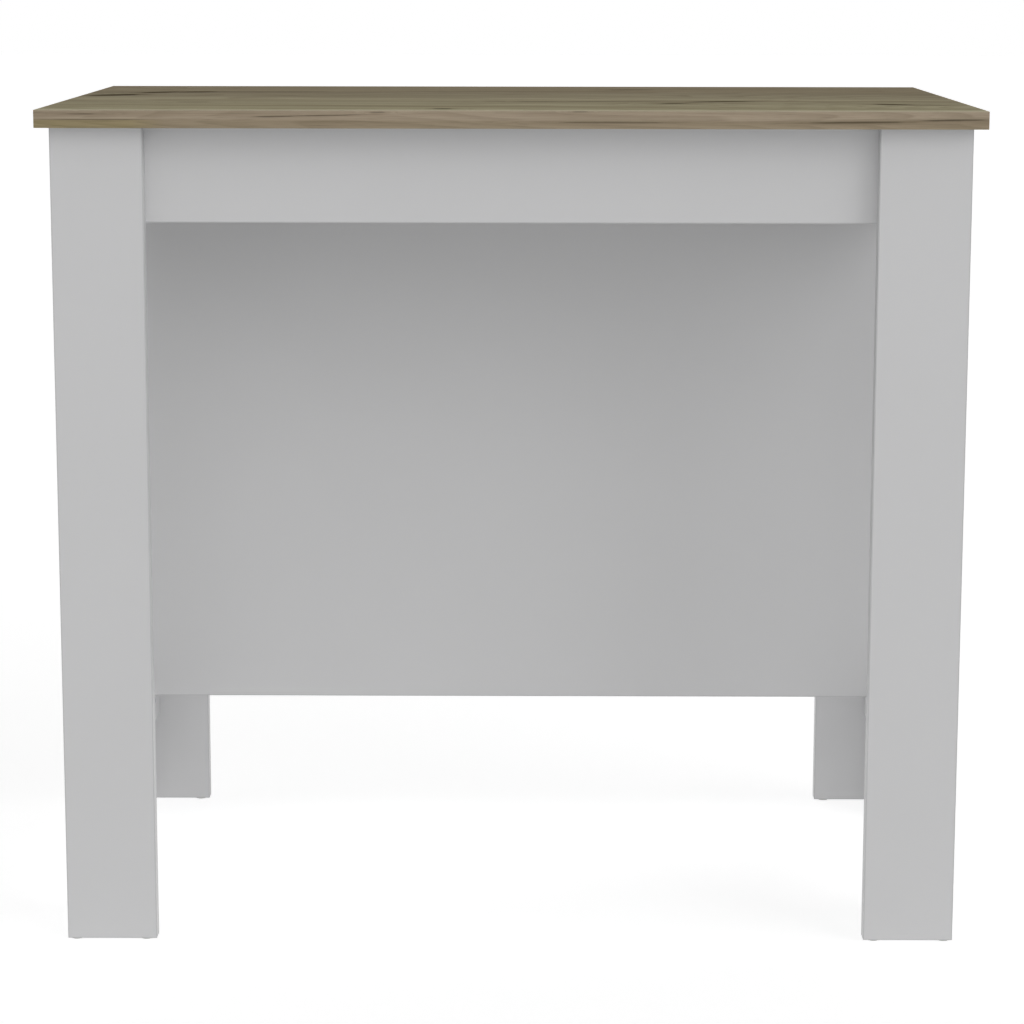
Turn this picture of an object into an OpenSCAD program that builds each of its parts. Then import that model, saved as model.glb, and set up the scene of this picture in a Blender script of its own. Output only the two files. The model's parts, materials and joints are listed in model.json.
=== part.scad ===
// Free-standing kitchen island: a wood-decor worktop on four L-shaped legs, open on the
// seating side, with a shallow two-door cabinet in the far half of its depth.
// X runs along the width, -Y is the seating side, +Y is the cabinet side, +Z is up.
// The origin is on the floor, in the middle of the footprint.

/* [Worktop] */
// Length of the worktop along X
top_w = 1000; // [900:1:1600]
// Depth of the worktop along Y
top_d = 580; // [560:1:900]
// Height of the worktop's upper face above the floor
total_h = 912; // [820:1:1000]
// Thickness of the worktop board
top_t = 19; // [16:1:40]
// Thickness of the edging band round the worktop
edging_t = 1; // [0.5:0.1:2]
// How far the worktop reaches past the legs at each end
end_overhang = 13; // [4:1:60]
// How far the worktop reaches past the legs on the long sides
side_overhang = 18; // [18:1:60]

/* [Legs and rails] */
// Thickness of the carcass boards
board_t = 18; // [16:1:22]
// Width of each leg on both of its faces
leg_w = 98; // [85:1:120]
// Height of the aprons and of the side rails
rail_h = 102; // [80:1:130]
// Height of the lower side rails' under edge above the floor
low_rail_z = 116; // [80:1:160]
// Thickness of the glides under the legs
glide_t = 2; // [1.5:0.1:6]
// Diameter of a glide
glide_d = 14; // [10:1:16]

/* [Cabinet] */
// Depth of the knee space, from the worktop's edge to the knee panel
knee_d = 310; // [280:1:340]
// Shelf holes in each row
shelf_holes = 5; // [3:2:7]
// Pitch of the shelf holes
shelf_pitch = 32; // [25:1:40]
// Diameter of a shelf hole
shelf_hole_d = 5; // [4:0.5:6]
// Distance from a board's front and back edges to the shelf holes
shelf_row_inset = 37; // [32:1:50]
// Gap between a shelf and the boards beside it
shelf_gap = 1; // [0.5:0.1:2]

/* [Doors] */
// Gap at each door's hinged edge, and between the two doors
door_gap = 3; // [2.8:0.1:5]
// Gap between the back of a closed door and the boards that it shuts on
door_rest_gap = 0.3; // [0.2:0.05:0.5]
// How far a door reaches over the far apron
door_lap = 8; // [4:1:20]
// How much of the cabinet floor's edge shows below a door
door_floor_show = 2; // [0:0.5:6]
// Diameter of a door knob
knob_d = 30; // [24:1:36]
// How far a knob stands out of its door
knob_out = 17; // [14:0.5:17.5]
// Distance from a door's free edge to its knob
knob_inset = 40; // [32:1:60]
// Distance from a door's upper edge to its knob
knob_drop = 90; // [75:1:200]

/* [Hinges] */
// Length of a hinge along its pin
hinge_h = 50; // [40:1:64]
// Width of a hinge leaf on the board's edge
hinge_leaf_w = 15; // [13:0.5:15]
// Thickness of a hinge leaf
hinge_leaf_t = 1.2; // [1:0.05:1.3]
// Outer diameter of the hinge barrel
hinge_barrel_d = 6; // [5:0.1:7]
// Diameter of the hinge pin
hinge_pin_d = 2.5; // [2:0.1:3]
// Distance from a door's ends to the nearer end of each hinge
hinge_inset = 55; // [40:1:120]

/* [Fittings] */
// Diameter of a dowel
dowel_d = 8; // [6:1:8]
// Length of a dowel
dowel_l = 30; // [24:1:30]
// Depth of a dowel in the face of a board
dowel_face_depth = 11; // [8:0.5:12]
// Diameter of a cam lock
cam_d = 15; // [14:0.5:16]
// Distance from a joint's face to the middle of its cam lock
cam_reach = 24; // [22:1:34]
// Diameter of a cam bolt's thread
cam_bolt_d = 6; // [5:0.5:7]
// Diameter of a confirmat screw's thread
confirmat_d = 5; // [4.5:0.1:6]
// Length of a confirmat screw
confirmat_l = 48; // [40:1:60]
// Diameter of a chipboard screw's thread
screw_d = 4; // [3.5:0.1:4.5]
// How far a chipboard screw bites into the second board
screw_bite = 12; // [9:0.5:14]
// Length of each leg of an angle bracket
bracket_w = 25; // [20:1:30]
// Thickness of an angle bracket
bracket_t = 2; // [1.5:0.1:3]

/* [Hidden] */
$fn = 48;
white = [0.93, 0.93, 0.95];
oak = [0.47, 0.43, 0.39];
steel = [0.72, 0.73, 0.75];
zinc = [0.62, 0.62, 0.6];
plastic = [0.9, 0.9, 0.88];
beech = [0.82, 0.68, 0.5];

// Both signs of a mirrored pair
SIDES = [-1, 1];
// Overshoot of a cut past the face that it opens
eps = 0.01;
// Radial room round a fixed pin, screw or dowel
fit = 0.05;
// Room at the end of a blind bore
bore_room = 0.5;

// Outer planes of the legs, and the height at which the worktop lies on them
leg_x = top_w / 2 - end_overhang;
leg_y = top_d / 2 - side_overhang;
leg_top = total_h - top_t;
leg_in_x = leg_x - leg_w;
leg_in_y = leg_y - leg_w;
// Outer and inner planes of the side rails and aprons, one and two boards inside the legs
rail_x = leg_x - board_t;
rail_in_x = rail_x - board_t;
rail_y = leg_y - board_t;
rail_in_y = rail_y - board_t;
rail_z = leg_top - rail_h;

// The cabinet: its floor lies level with the top of the lower rails
floor_top = low_rail_z + rail_h;
floor_z = floor_top - board_t;
floor_mid_z = floor_z + board_t / 2;
panel_y = knee_d - top_d / 2;
cab_y = panel_y + board_t;
cab_d = rail_y - cab_y;
cab_h = leg_top - floor_top;
gable_in_x = rail_in_x - board_t;
gable_mid_x = rail_in_x - board_t / 2;
// Room between the far apron and the boards notched round it
notch_gap = 0.2;

// Doors
door_back_y = rail_y + door_rest_gap;
door_front_y = door_back_y + board_t;
door_z0 = floor_z + door_floor_show;
door_z1 = rail_z + door_lap;
door_x0 = door_gap / 2;
door_x1 = leg_in_x - door_gap;

// Knobs
knob_x = door_x0 + knob_inset;
knob_z = door_z1 - knob_drop;
knob_foot_r = knob_d * 0.28;
knob_foot_h = 2.5;
knob_neck_r = knob_d * 0.2;
knob_rim_r = knob_d * 0.11;
knob_dome_h = 2.2;
knob_dome_r = (knob_dome_h + pow(knob_d / 2, 2) / knob_dome_h) / 2;
knob_screw_d = 4;
knob_screw_bite = 10;
knob_screw_head_d = 8;
knob_screw_head_t = 2.4;

// Hinges: the pin stands clear of the faces, over the middle of the door's gap
barrel_r = hinge_barrel_d / 2;
pin_x = leg_in_x - door_gap / 2;
pin_y = door_front_y + barrel_r;
hinge_zs = [door_z0 + hinge_inset, door_z1 - hinge_inset - hinge_h];
// Radial room round the pin in the knuckle that turns on it, and the gap between knuckles
pin_fit = 0.05;
knuckle_gap = 0.2;
knuckle_h = (hinge_h - 2 * knuckle_gap) / 3;
pin_head_d = hinge_pin_d + 2;
pin_head_t = 1.2;
// Room between a leaf's edge and the other leaf's knuckles
leaf_relief = 0.3;
leaf_y1 = pin_y - barrel_r - leaf_relief;
leaf_y0 = leaf_y1 - hinge_leaf_w;
leaf_screw_d = 2.8;
leaf_screw_l = 15;
leaf_screw_head_d = leaf_screw_d + 2 * hinge_leaf_t;
leaf_screw_spots = [0.16, 0.5, 0.84];

// Magnetic catches on the centre partition, under the far apron
catch_w = 12;
catch_depth = 20;
catch_h = 46;
catch_air = 0.2;
catch_drop = 20;
catch_z = rail_z - catch_drop - catch_h / 2;
catch_screw_dz = catch_h * 0.4;
strike_t = 1.2;
strike_w = 10;
strike_h = 36;
pole_t = 1.5;
pole_gap = 4;
pole_out = 0.5;
pole_depth = 12;
pole_h = 26;
catch_x = board_t / 2;
catch_mid_x = catch_x + catch_w / 2;
pole_y1 = door_back_y - strike_t - catch_air;
catch_y1 = pole_y1 - pole_out;
small_screw_d = 3;
small_screw_head_d = small_screw_d + 2 * strike_t;
catch_screw_bite = board_t / 2 - 2;
strike_screw_bite = 12;

// Shelves, each on pins in the middle hole of four rows
shelf_mid_z = (floor_top + leg_top) / 2;
shelf_pin_ys = [cab_y + shelf_row_inset, rail_y - shelf_row_inset];
shelf_hole_depth = board_t / 2 - 1;
shelf_z = shelf_mid_z + shelf_hole_d / 2;
shelf_front_gap = 5;
spoon_l = 9;
spoon_w = 7;

// Chipboard screws: two across each end of a rail
screw_head_d = 2 * screw_d;
rail_screw_dz = rail_h / 4;
apron_screw_x = (leg_in_x + rail_in_x) / 2;
rail_screw_y = (leg_in_y + rail_y) / 2;
upper_screw_zs = [rail_z + rail_screw_dz, leg_top - rail_screw_dz];
lower_screw_zs = [low_rail_z + rail_screw_dz, floor_z - rail_screw_dz * 0.6];

// Angle brackets in the corner between a rail and the worktop
bracket_l = 20;
bracket_corner_r = 4;
bracket_hole_out = bracket_w * 0.6;
bracket_screw_l = 15;
bracket_head_d = 2 * screw_d;
bracket_head_t = screw_d * 0.6;

// Glides: one under each leg's corner and one near the free edge of each of its boards
glide_in = board_t / 2;
glide_end = 12;
glide_edge_r = 0.6;
glide_nail_d = 1.8;
glide_nail_l = 14;

// Cam joints
cam_h = 13;
cam_bore_depth = cam_h + bore_room;
cam_axis_depth = board_t / 2;
cam_bolt_bite = 11;
cam_collar_h = 1.5;
cam_shaft_d = 7;
cam_neck_d = 4;
cam_head_d = 6.4;
cam_head_l = 3;
cam_rim_room = 0.5;
cam_turn = 150;
edge_bore_d = 8;

// Confirmat screws
confirmat_head_d = 2 * confirmat_d;
confirmat_shank_d = confirmat_d * 1.4;

// Joint places. Each is [point on the face, direction of the pin, screw or bolt], and a cam
// joint adds the way that the cam's slotted face looks.

// Dowels inside one leg, from the face board into the side board's edge
leg_dowel_rows = 5;
function leg_dowels(sx, sy) = [for (i = [0:leg_dowel_rows - 1])
    [[sx * (leg_x - board_t / 2), sy * rail_y, leg_top * (i + 0.5) / leg_dowel_rows], [0, -sy, 0]]];

// Screws through one end of an apron into a leg's face board
function apron_screws(sx, sy) = [for (z = upper_screw_zs)
    [[sx * apron_screw_x, sy * rail_in_y, z], [0, sy, 0]]];

// Screws through one end of the upper and lower side rails into a leg's side board
function side_rail_screws(sx, sy) = [for (z = concat(upper_screw_zs, lower_screw_zs))
    [[sx * rail_in_x, sy * rail_screw_y, z], [sx, 0, 0]]];

// Screws through a gable into the upper side rail
function gable_screws(sx) = [for (f = [0.3, 0.72])
    [[sx * gable_in_x, cab_y + cab_d * f, (rail_z + leg_top) / 2], [sx, 0, 0]]];

// Cabinet floor to a lower side rail
function floor_rail_cams(sx) = [for (f = [0.25, 0.75])
    [[sx * rail_in_x, cab_y + cab_d * f, floor_mid_z], [-sx, 0, 0], [0, 0, -1]]];
function floor_rail_dowels(sx) = [for (f = [0.1, 0.5])
    [[sx * rail_in_x, cab_y + cab_d * f, floor_mid_z], [-sx, 0, 0]]];

// Cabinet floor to the knee panel
floor_panel_cams = [for (sx = SIDES)
    [[sx * gable_in_x * 0.5, cab_y, floor_mid_z], [0, 1, 0], [0, 0, -1]]];
floor_panel_dowels = [for (f = [-0.8, -0.2, 0.2, 0.8])
    [[gable_in_x * f, cab_y, floor_mid_z], [0, 1, 0]]];

// Gables and centre partition to the knee panel
function gable_cams(sx) = [for (f = [0.08, 0.62, 0.9])
    [[sx * gable_mid_x, cab_y, floor_top + cab_h * f], [0, 1, 0], [-sx, 0, 0]]];
function gable_dowels(sx) = [for (f = [0.28, 0.76])
    [[sx * gable_mid_x, cab_y, floor_top + cab_h * f], [0, 1, 0]]];
partition_dowels = [for (f = [0.1, 0.34, 0.66, 0.9])
    [[0, cab_y, floor_top + cab_h * f], [0, 1, 0]]];

// Confirmat screws up through the cabinet floor into an upright board
function upright_confirmats(x) = [for (f = [0.38, 0.88])
    [[x, cab_y + cab_d * f, floor_z], [0, 0, 1]]];

// Angle brackets, as the corner's point and the way out from the rail
near_brackets = [for (f = [-0.66, 0, 0.66]) [[gable_in_x * f, -rail_in_y, leg_top], [0, 1, 0]]];
far_brackets = [for (f = [-0.5, 0.5]) [[gable_in_x * f, rail_in_y, leg_top], [0, -1, 0]]];
function side_bracket(sx) = [[sx * rail_in_x, (panel_y - rail_in_y) / 2, leg_top], [-sx, 0, 0]];

all_cams = concat(floor_panel_cams,
    [for (sx = SIDES) each floor_rail_cams(sx)],
    [for (sx = SIDES) each gable_cams(sx)]);
all_dowels = concat(floor_panel_dowels, partition_dowels,
    [for (sx = SIDES) each floor_rail_dowels(sx)],
    [for (sx = SIDES) each gable_dowels(sx)],
    [for (sx = SIDES, sy = SIDES) each leg_dowels(sx, sy)]);
all_confirmats = [for (x = [-gable_mid_x, 0, gable_mid_x]) each upright_confirmats(x)];
all_screws = concat(
    [for (sx = SIDES) each gable_screws(sx)],
    [for (sx = SIDES, sy = SIDES) each apron_screws(sx, sy)],
    [for (sx = SIDES, sy = SIDES) each side_rail_screws(sx, sy)]);
all_brackets = concat(near_brackets, far_brackets, [for (sx = SIDES) side_bracket(sx)]);

// Glide places under one leg
function glide_places(sx, sy) = [
    [sx * (leg_x - glide_in), sy * (leg_y - glide_in), glide_t],
    [sx * (leg_in_x + glide_end), sy * (leg_y - glide_in), glide_t],
    [sx * (leg_x - glide_in), sy * (leg_in_y + glide_end), glide_t]];

// A box from its low corner to its high corner
module block(lo, hi) {
    translate(lo)
        cube(hi - lo);
}

// A piece drawn on the right-hand side (side 1), or its mirror image on the left (side -1)
module on_side(side) {
    mirror([side < 0 ? 1 : 0, 0, 0])
        children();
}

// A piece drawn at the far right leg, moved to the leg at signs sx, sy by mirroring
module at_leg(sx, sy) {
    mirror([sx < 0 ? 1 : 0, 0, 0])
        mirror([0, sy < 0 ? 1 : 0, 0])
            children();
}

// A frame at p with its X along x and its Z along z
module frame_at(p, x, z) {
    y = cross(z, x);
    multmatrix([
        [x[0], y[0], z[0], p[0]],
        [x[1], y[1], z[1], p[1]],
        [x[2], y[2], z[2], p[2]],
        [0, 0, 0, 1]])
        children();
}

// A frame at p whose Z runs along d, for things that are round about d
module along(p, d) {
    frame_at(p, abs(d[2]) > 0.5 ? [1, 0, 0] : [0, 0, 1], d)
        children();
}

// A countersunk screw with its head's face at the origin and its shank along +Z
module countersunk(d, head_d, l) {
    cone_h = (head_d - d) / 2;
    tip_h = d;
    rotate_extrude()
        polygon([[0, 0], [head_d / 2, 0], [d / 2, cone_h], [d / 2, l - tip_h], [0, l]]);
}

// The hole for that screw, a little wider and deeper
module countersunk_hole(d, head_d, l) {
    wide_d = d + 2 * fit;
    wide_head_d = head_d + 2 * fit;
    cone_h = (wide_head_d - wide_d) / 2;
    translate([0, 0, -eps])
        cylinder(h = cone_h + eps, d1 = wide_head_d, d2 = wide_d);
    cylinder(h = l + bore_room, d = wide_d);
}

// A pan-head screw: its head stands on the plane of the origin, its shank runs along +Z
module pan_screw(d, head_d, head_t, l) {
    edge = head_t / 3;
    rotate_extrude()
        polygon([[0, -head_t], [head_d / 2 - edge, -head_t], [head_d / 2, edge - head_t],
            [head_d / 2, 0], [d / 2, 0], [d / 2, l - d / 2], [0, l]]);
}

// Chipboard screw through one board into the next
module rail_screw_at(place) {
    along(place[0], place[1])
        countersunk(screw_d, screw_head_d, board_t + screw_bite);
}

module rail_screw_bores(places) {
    for (place = places)
        along(place[0], place[1])
            countersunk_hole(screw_d, screw_head_d, board_t + screw_bite);
}

// Dowel with chamfered ends, across a joint's face
module dowel_at(place) {
    chamfer = dowel_d / 8;
    along(place[0], place[1])
        translate([0, 0, -dowel_face_depth])
            rotate_extrude()
                polygon([[0, 0], [dowel_d / 2 - chamfer, 0], [dowel_d / 2, chamfer],
                    [dowel_d / 2, dowel_l - chamfer], [dowel_d / 2 - chamfer, dowel_l], [0, dowel_l]]);
}

module dowel_bores(places) {
    for (place = places)
        along(place[0], place[1])
            translate([0, 0, -dowel_face_depth - bore_room])
                cylinder(h = dowel_l + 2 * bore_room, d = dowel_d + 2 * fit);
}

// Confirmat screw: a flat-bottomed countersunk head, a wide shank and a thinner thread
module confirmat_profile(room, extra) {
    head_r = confirmat_head_d / 2 + room;
    shank_r = confirmat_shank_d / 2 + room;
    thread_r = confirmat_d / 2 + room;
    cone_h = head_r - shank_r;
    polygon([[0, 0], [head_r, 0], [shank_r, cone_h], [shank_r, board_t / 2 + cone_h],
        [thread_r, board_t / 2 + cone_h + 1], [thread_r, confirmat_l + extra - thread_r],
        [0, confirmat_l + extra]]);
}

module confirmat_at(place) {
    along(place[0], place[1])
        rotate_extrude()
            confirmat_profile(0, 0);
}

module confirmat_bores(places) {
    for (place = places)
        along(place[0], place[1]) {
            rotate_extrude()
                confirmat_profile(fit, bore_room);
            translate([0, 0, -eps])
                cylinder(h = 2 * eps, d = confirmat_head_d + 2 * fit);
        }
}

// Cam bolt: its thread goes into the board behind the joint, its head into the cam
module cam_bolt_at(place) {
    thread_r = cam_bolt_d / 2;
    shaft_r = cam_shaft_d / 2;
    neck_r = cam_neck_d / 2;
    head_r = cam_head_d / 2;
    shaft_end = cam_reach - cam_d / 2 - cam_rim_room;
    head_start = cam_reach - cam_head_l / 2;
    along(place[0], place[1])
        rotate_extrude()
            polygon([[0, -cam_bolt_bite], [thread_r * 0.6, -cam_bolt_bite],
                [thread_r, thread_r - cam_bolt_bite], [thread_r, 0],
                [edge_bore_d / 2 - fit, 0], [edge_bore_d / 2 - fit, cam_collar_h],
                [shaft_r, cam_collar_h], [shaft_r, shaft_end - 1], [neck_r, shaft_end],
                [neck_r, head_start], [head_r, head_start + 0.6],
                [head_r, head_start + cam_head_l - 0.6], [head_r - 0.6, head_start + cam_head_l],
                [0, head_start + cam_head_l]]);
}

// A frame on the middle of a cam's slotted face, with the bolt coming in along +X
module at_cam(place) {
    frame_at(place[0] + place[1] * cam_reach + place[2] * cam_axis_depth, place[1], place[2])
        children();
}

// Inner wall of the cam's track: a spiral that closes on the bolt's head as the cam turns
function track_r(turn) = cam_head_l / 2 + 0.1 + (cam_d / 2 - 2.4 - cam_head_l / 2) * turn / cam_turn;

module cam_track() {
    steps = 15;
    head_room = cam_head_d + 0.6;
    neck_room = cam_neck_d + 0.6;
    translate([0, 0, -head_room / 2])
        linear_extrude(height = head_room)
            union() {
                polygon(concat([[0, 0]], [for (i = [0:steps])
                    let (a = 180 + cam_turn * i / steps, r = track_r(cam_turn * i / steps))
                    [r * cos(a), r * sin(a)]]));
                translate([-cam_head_l / 2 - 0.1, -head_room / 2])
                    square([cam_head_l + 0.4, head_room]);
            }
    rotate([0, 0, 180])
        rotate_extrude(angle = cam_turn)
            translate([0.5, -neck_room / 2])
                square([cam_d / 2 + 1, neck_room]);
    rotate([0, -90, 0])
        cylinder(h = cam_d / 2 + 1, d = neck_room);
    rotate([0, 0, 180 + cam_turn])
        rotate([0, 90, 0])
            cylinder(h = cam_d / 2 + 1, d = head_room);
}

// Cam lock: a disc with a spiral track from its entry hole to the bolt, and a cross slot
module cam_lock() {
    slot_w = 1.6;
    slot_l = cam_d * 0.6;
    slot_depth = 2;
    difference() {
        translate([0, 0, -cam_h])
            cylinder(h = cam_h, d = cam_d);
        translate([0, 0, -cam_axis_depth])
            cam_track();
        for (turn = [45, 135])
            rotate([0, 0, turn])
                translate([-slot_l / 2, -slot_w / 2, -slot_depth])
                    cube([slot_l, slot_w, slot_depth + eps]);
    }
}

// Bores of a cam joint: the thread's hole, the bolt's passage and the cam's pocket
module cam_bores(places) {
    for (place = places) {
        along(place[0], place[1])
            translate([0, 0, -cam_bolt_bite - bore_room])
                cylinder(h = cam_bolt_bite + bore_room + eps, d = cam_bolt_d + 2 * fit);
        along(place[0], place[1])
            cylinder(h = cam_reach, d = edge_bore_d);
        at_cam(place)
            translate([0, 0, -cam_bore_depth])
                cylinder(h = cam_bore_depth + eps, d = cam_d + 2 * fit);
    }
}

// A frame in the corner under the worktop: X out from the rail, Y along it, Z up
module at_bracket(place) {
    frame_at(place[0], place[1], [0, 0, 1])
        children();
}

// One leg of an angle bracket: a plate along +X with rounded free corners and a hole
module bracket_plate() {
    linear_extrude(height = bracket_t)
        difference() {
            union() {
                translate([0, -bracket_l / 2])
                    square([bracket_w - bracket_corner_r, bracket_l]);
                translate([0, bracket_corner_r - bracket_l / 2])
                    square([bracket_w, bracket_l - 2 * bracket_corner_r]);
                for (side = SIDES)
                    translate([bracket_w - bracket_corner_r, side * (bracket_l / 2 - bracket_corner_r)])
                        circle(r = bracket_corner_r);
            }
            translate([bracket_hole_out, 0])
                circle(d = screw_d + 2 * fit);
        }
}

module bracket() {
    translate([0, 0, -bracket_t])
        bracket_plate();
    rotate([0, 90, 0])
        bracket_plate();
}

// The two screws of a bracket, or their holes when room is given
module bracket_fasteners(room, extra) {
    translate([bracket_hole_out, 0, -bracket_t])
        pan_screw(screw_d + 2 * room, bracket_head_d, bracket_head_t, bracket_screw_l + extra);
    translate([bracket_t, 0, -bracket_hole_out])
        rotate([0, -90, 0])
            pan_screw(screw_d + 2 * room, bracket_head_d, bracket_head_t, bracket_screw_l + extra);
}

module bracket_bores(places) {
    for (place = places)
        at_bracket(place)
            bracket_fasteners(fit, bore_room);
}

// Glide: a plastic disc with a rounded lower rim, and the nail that holds it
module glide() {
    r = glide_d / 2;
    nail_r = glide_nail_d / 2;
    rotate_extrude()
        union() {
            translate([0, -glide_t])
                square([r - glide_edge_r, glide_t]);
            translate([0, glide_edge_r - glide_t])
                square([r, glide_t - glide_edge_r]);
            translate([r - glide_edge_r, glide_edge_r - glide_t])
                intersection() {
                    circle(r = glide_edge_r);
                    translate([-glide_edge_r, -glide_edge_r])
                        square(2 * glide_edge_r);
                }
            polygon([[0, 0], [nail_r, 0], [nail_r, glide_nail_l - 2], [0, glide_nail_l]]);
        }
}

module glide_bores(sx, sy) {
    for (p = glide_places(sx, sy))
        translate(p - [0, 0, eps])
            cylinder(h = glide_nail_l + bore_room, d = glide_nail_d + 2 * fit);
}

// Frames of the hinge screws: into the leg's edge (way 1) or into the door's edge (way -1)
module leaf_screw_places(way) {
    for (z = hinge_zs, f = leaf_screw_spots)
        translate([way > 0 ? leg_in_x - hinge_leaf_t : door_x1 + hinge_leaf_t,
            (leaf_y0 + leaf_y1) / 2, z + hinge_h * f])
            rotate([0, way * 90, 0])
                children();
}

module leaf_screw_holes(way) {
    leaf_screw_places(way)
        countersunk_hole(leaf_screw_d, leaf_screw_head_d, leaf_screw_l);
}

module worktop() {
    color(oak)
        difference() {
            block([edging_t - top_w / 2, edging_t - top_d / 2, leg_top],
                [top_w / 2 - edging_t, top_d / 2 - edging_t, total_h]);
            bracket_bores(all_brackets);
        }
}

module worktop_edging() {
    color(oak)
        difference() {
            block([-top_w / 2, -top_d / 2, leg_top], [top_w / 2, top_d / 2, total_h]);
            block([edging_t - top_w / 2, edging_t - top_d / 2, leg_top - 1],
                [top_w / 2 - edging_t, top_d / 2 - edging_t, total_h + 1]);
        }
}

// Face board of the leg at signs sx, sy: the wide face that looks along Y
module leg_face(sx, sy) {
    color(white)
        difference() {
            at_leg(sx, sy)
                block([leg_in_x, rail_y, glide_t], [leg_x, leg_y, leg_top]);
            dowel_bores(leg_dowels(sx, sy));
            rail_screw_bores(apron_screws(sx, sy));
            glide_bores(sx, sy);
            if (sy > 0)
                on_side(sx)
                    leaf_screw_holes(1);
        }
}

// Side board of that leg: it looks along X and meets the back of the face board
module leg_side(sx, sy) {
    color(white)
        difference() {
            at_leg(sx, sy)
                block([rail_x, leg_in_y, glide_t], [leg_x, rail_y, leg_top]);
            dowel_bores(leg_dowels(sx, sy));
            rail_screw_bores(side_rail_screws(sx, sy));
            glide_bores(sx, sy);
        }
}

// Apron between the side rails: the near one at sy -1, the far one at sy 1
module apron(sy) {
    color(white)
        difference() {
            at_leg(1, sy)
                block([-rail_in_x, rail_in_y, rail_z], [rail_in_x, rail_y, leg_top]);
            for (sx = SIDES)
                rail_screw_bores(apron_screws(sx, sy));
            bracket_bores(sy < 0 ? near_brackets : far_brackets);
        }
}

module upper_rail(sx) {
    color(white)
        difference() {
            on_side(sx)
                block([rail_in_x, -rail_y, rail_z], [rail_x, rail_y, leg_top]);
            for (sy = SIDES)
                rail_screw_bores(side_rail_screws(sx, sy));
            rail_screw_bores(gable_screws(sx));
            bracket_bores([side_bracket(sx)]);
        }
}

module lower_rail(sx) {
    color(white)
        difference() {
            on_side(sx)
                block([rail_in_x, -rail_y, low_rail_z], [rail_x, rail_y, floor_top]);
            for (sy = SIDES)
                rail_screw_bores(side_rail_screws(sx, sy));
            cam_bores(floor_rail_cams(sx));
            dowel_bores(floor_rail_dowels(sx));
        }
}

module knee_panel() {
    color(white)
        difference() {
            block([-rail_in_x, panel_y, floor_z], [rail_in_x, cab_y, leg_top]);
            cam_bores(floor_panel_cams);
            dowel_bores(floor_panel_dowels);
            dowel_bores(partition_dowels);
            for (sx = SIDES) {
                cam_bores(gable_cams(sx));
                dowel_bores(gable_dowels(sx));
            }
        }
}

module cabinet_floor() {
    color(white)
        difference() {
            block([-rail_in_x, cab_y, floor_z], [rail_in_x, rail_y, floor_top]);
            cam_bores(floor_panel_cams);
            dowel_bores(floor_panel_dowels);
            confirmat_bores(all_confirmats);
            for (sx = SIDES) {
                cam_bores(floor_rail_cams(sx));
                dowel_bores(floor_rail_dowels(sx));
            }
        }
}

// An upright board of the cabinet from x0 to x1, notched round the far apron
module upright(x0, x1) {
    difference() {
        block([x0, cab_y, floor_top], [x1, rail_y, leg_top]);
        block([x0 - 1, rail_in_y - notch_gap, rail_z - notch_gap], [x1 + 1, rail_y + 1, leg_top + 1]);
    }
}

// Rows of shelf holes bored along +X from the plane x
module shelf_hole_rows(x) {
    for (y = shelf_pin_ys, i = [0:shelf_holes - 1])
        translate([x - eps, y, shelf_mid_z + (i - (shelf_holes - 1) / 2) * shelf_pitch])
            rotate([0, 90, 0])
                cylinder(h = shelf_hole_depth + bore_room, d = shelf_hole_d + 2 * fit);
}

module gable(sx) {
    color(white)
        difference() {
            on_side(sx)
                upright(gable_in_x, rail_in_x);
            cam_bores(gable_cams(sx));
            dowel_bores(gable_dowels(sx));
            confirmat_bores(upright_confirmats(sx * gable_mid_x));
            rail_screw_bores(gable_screws(sx));
            on_side(sx)
                shelf_hole_rows(gable_in_x);
        }
}

module centre_partition() {
    color(white)
        difference() {
            upright(-board_t / 2, board_t / 2);
            dowel_bores(partition_dowels);
            confirmat_bores(upright_confirmats(0));
            for (sx = SIDES)
                on_side(sx) {
                    mirror([1, 0, 0])
                        shelf_hole_rows(-board_t / 2);
                    catch_screw_holes();
                }
        }
}

// A shelf stands clear of the knee panel and lies on its four pins
module shelf(sx) {
    color(white)
        on_side(sx)
            block([board_t / 2 + shelf_gap, cab_y + shelf_gap, shelf_z],
                [gable_in_x - shelf_gap, rail_y - shelf_front_gap, shelf_z + board_t]);
}

// Shelf pin: a peg in the board along +X, and a flat spoon under the shelf
module shelf_pin() {
    color(steel) {
        rotate([0, 90, 0])
            cylinder(h = shelf_hole_depth, d = shelf_hole_d);
        block([-spoon_l, -spoon_w / 2, -shelf_hole_d / 2], [0, spoon_w / 2, shelf_hole_d / 2]);
    }
}

module shelf_pins() {
    for (sx = SIDES, y = shelf_pin_ys)
        on_side(sx) {
            translate([gable_in_x, y, shelf_mid_z])
                shelf_pin();
            translate([board_t / 2, y, shelf_mid_z])
                mirror([1, 0, 0])
                    shelf_pin();
        }
}

// Slab door with the bores for its hinges, knob and strike plate
module door(sx) {
    color(white)
        on_side(sx)
            difference() {
                block([door_x0, door_back_y, door_z0], [door_x1, door_front_y, door_z1]);
                leaf_screw_holes(-1);
                translate([knob_x, door_back_y - eps, knob_z])
                    rotate([-90, 0, 0])
                        cylinder(h = board_t + 2 * eps, d = knob_screw_d + 2 * fit);
                strike_screw_place()
                    countersunk_hole(small_screw_d, small_screw_head_d, strike_t + strike_screw_bite);
            }
}

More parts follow.
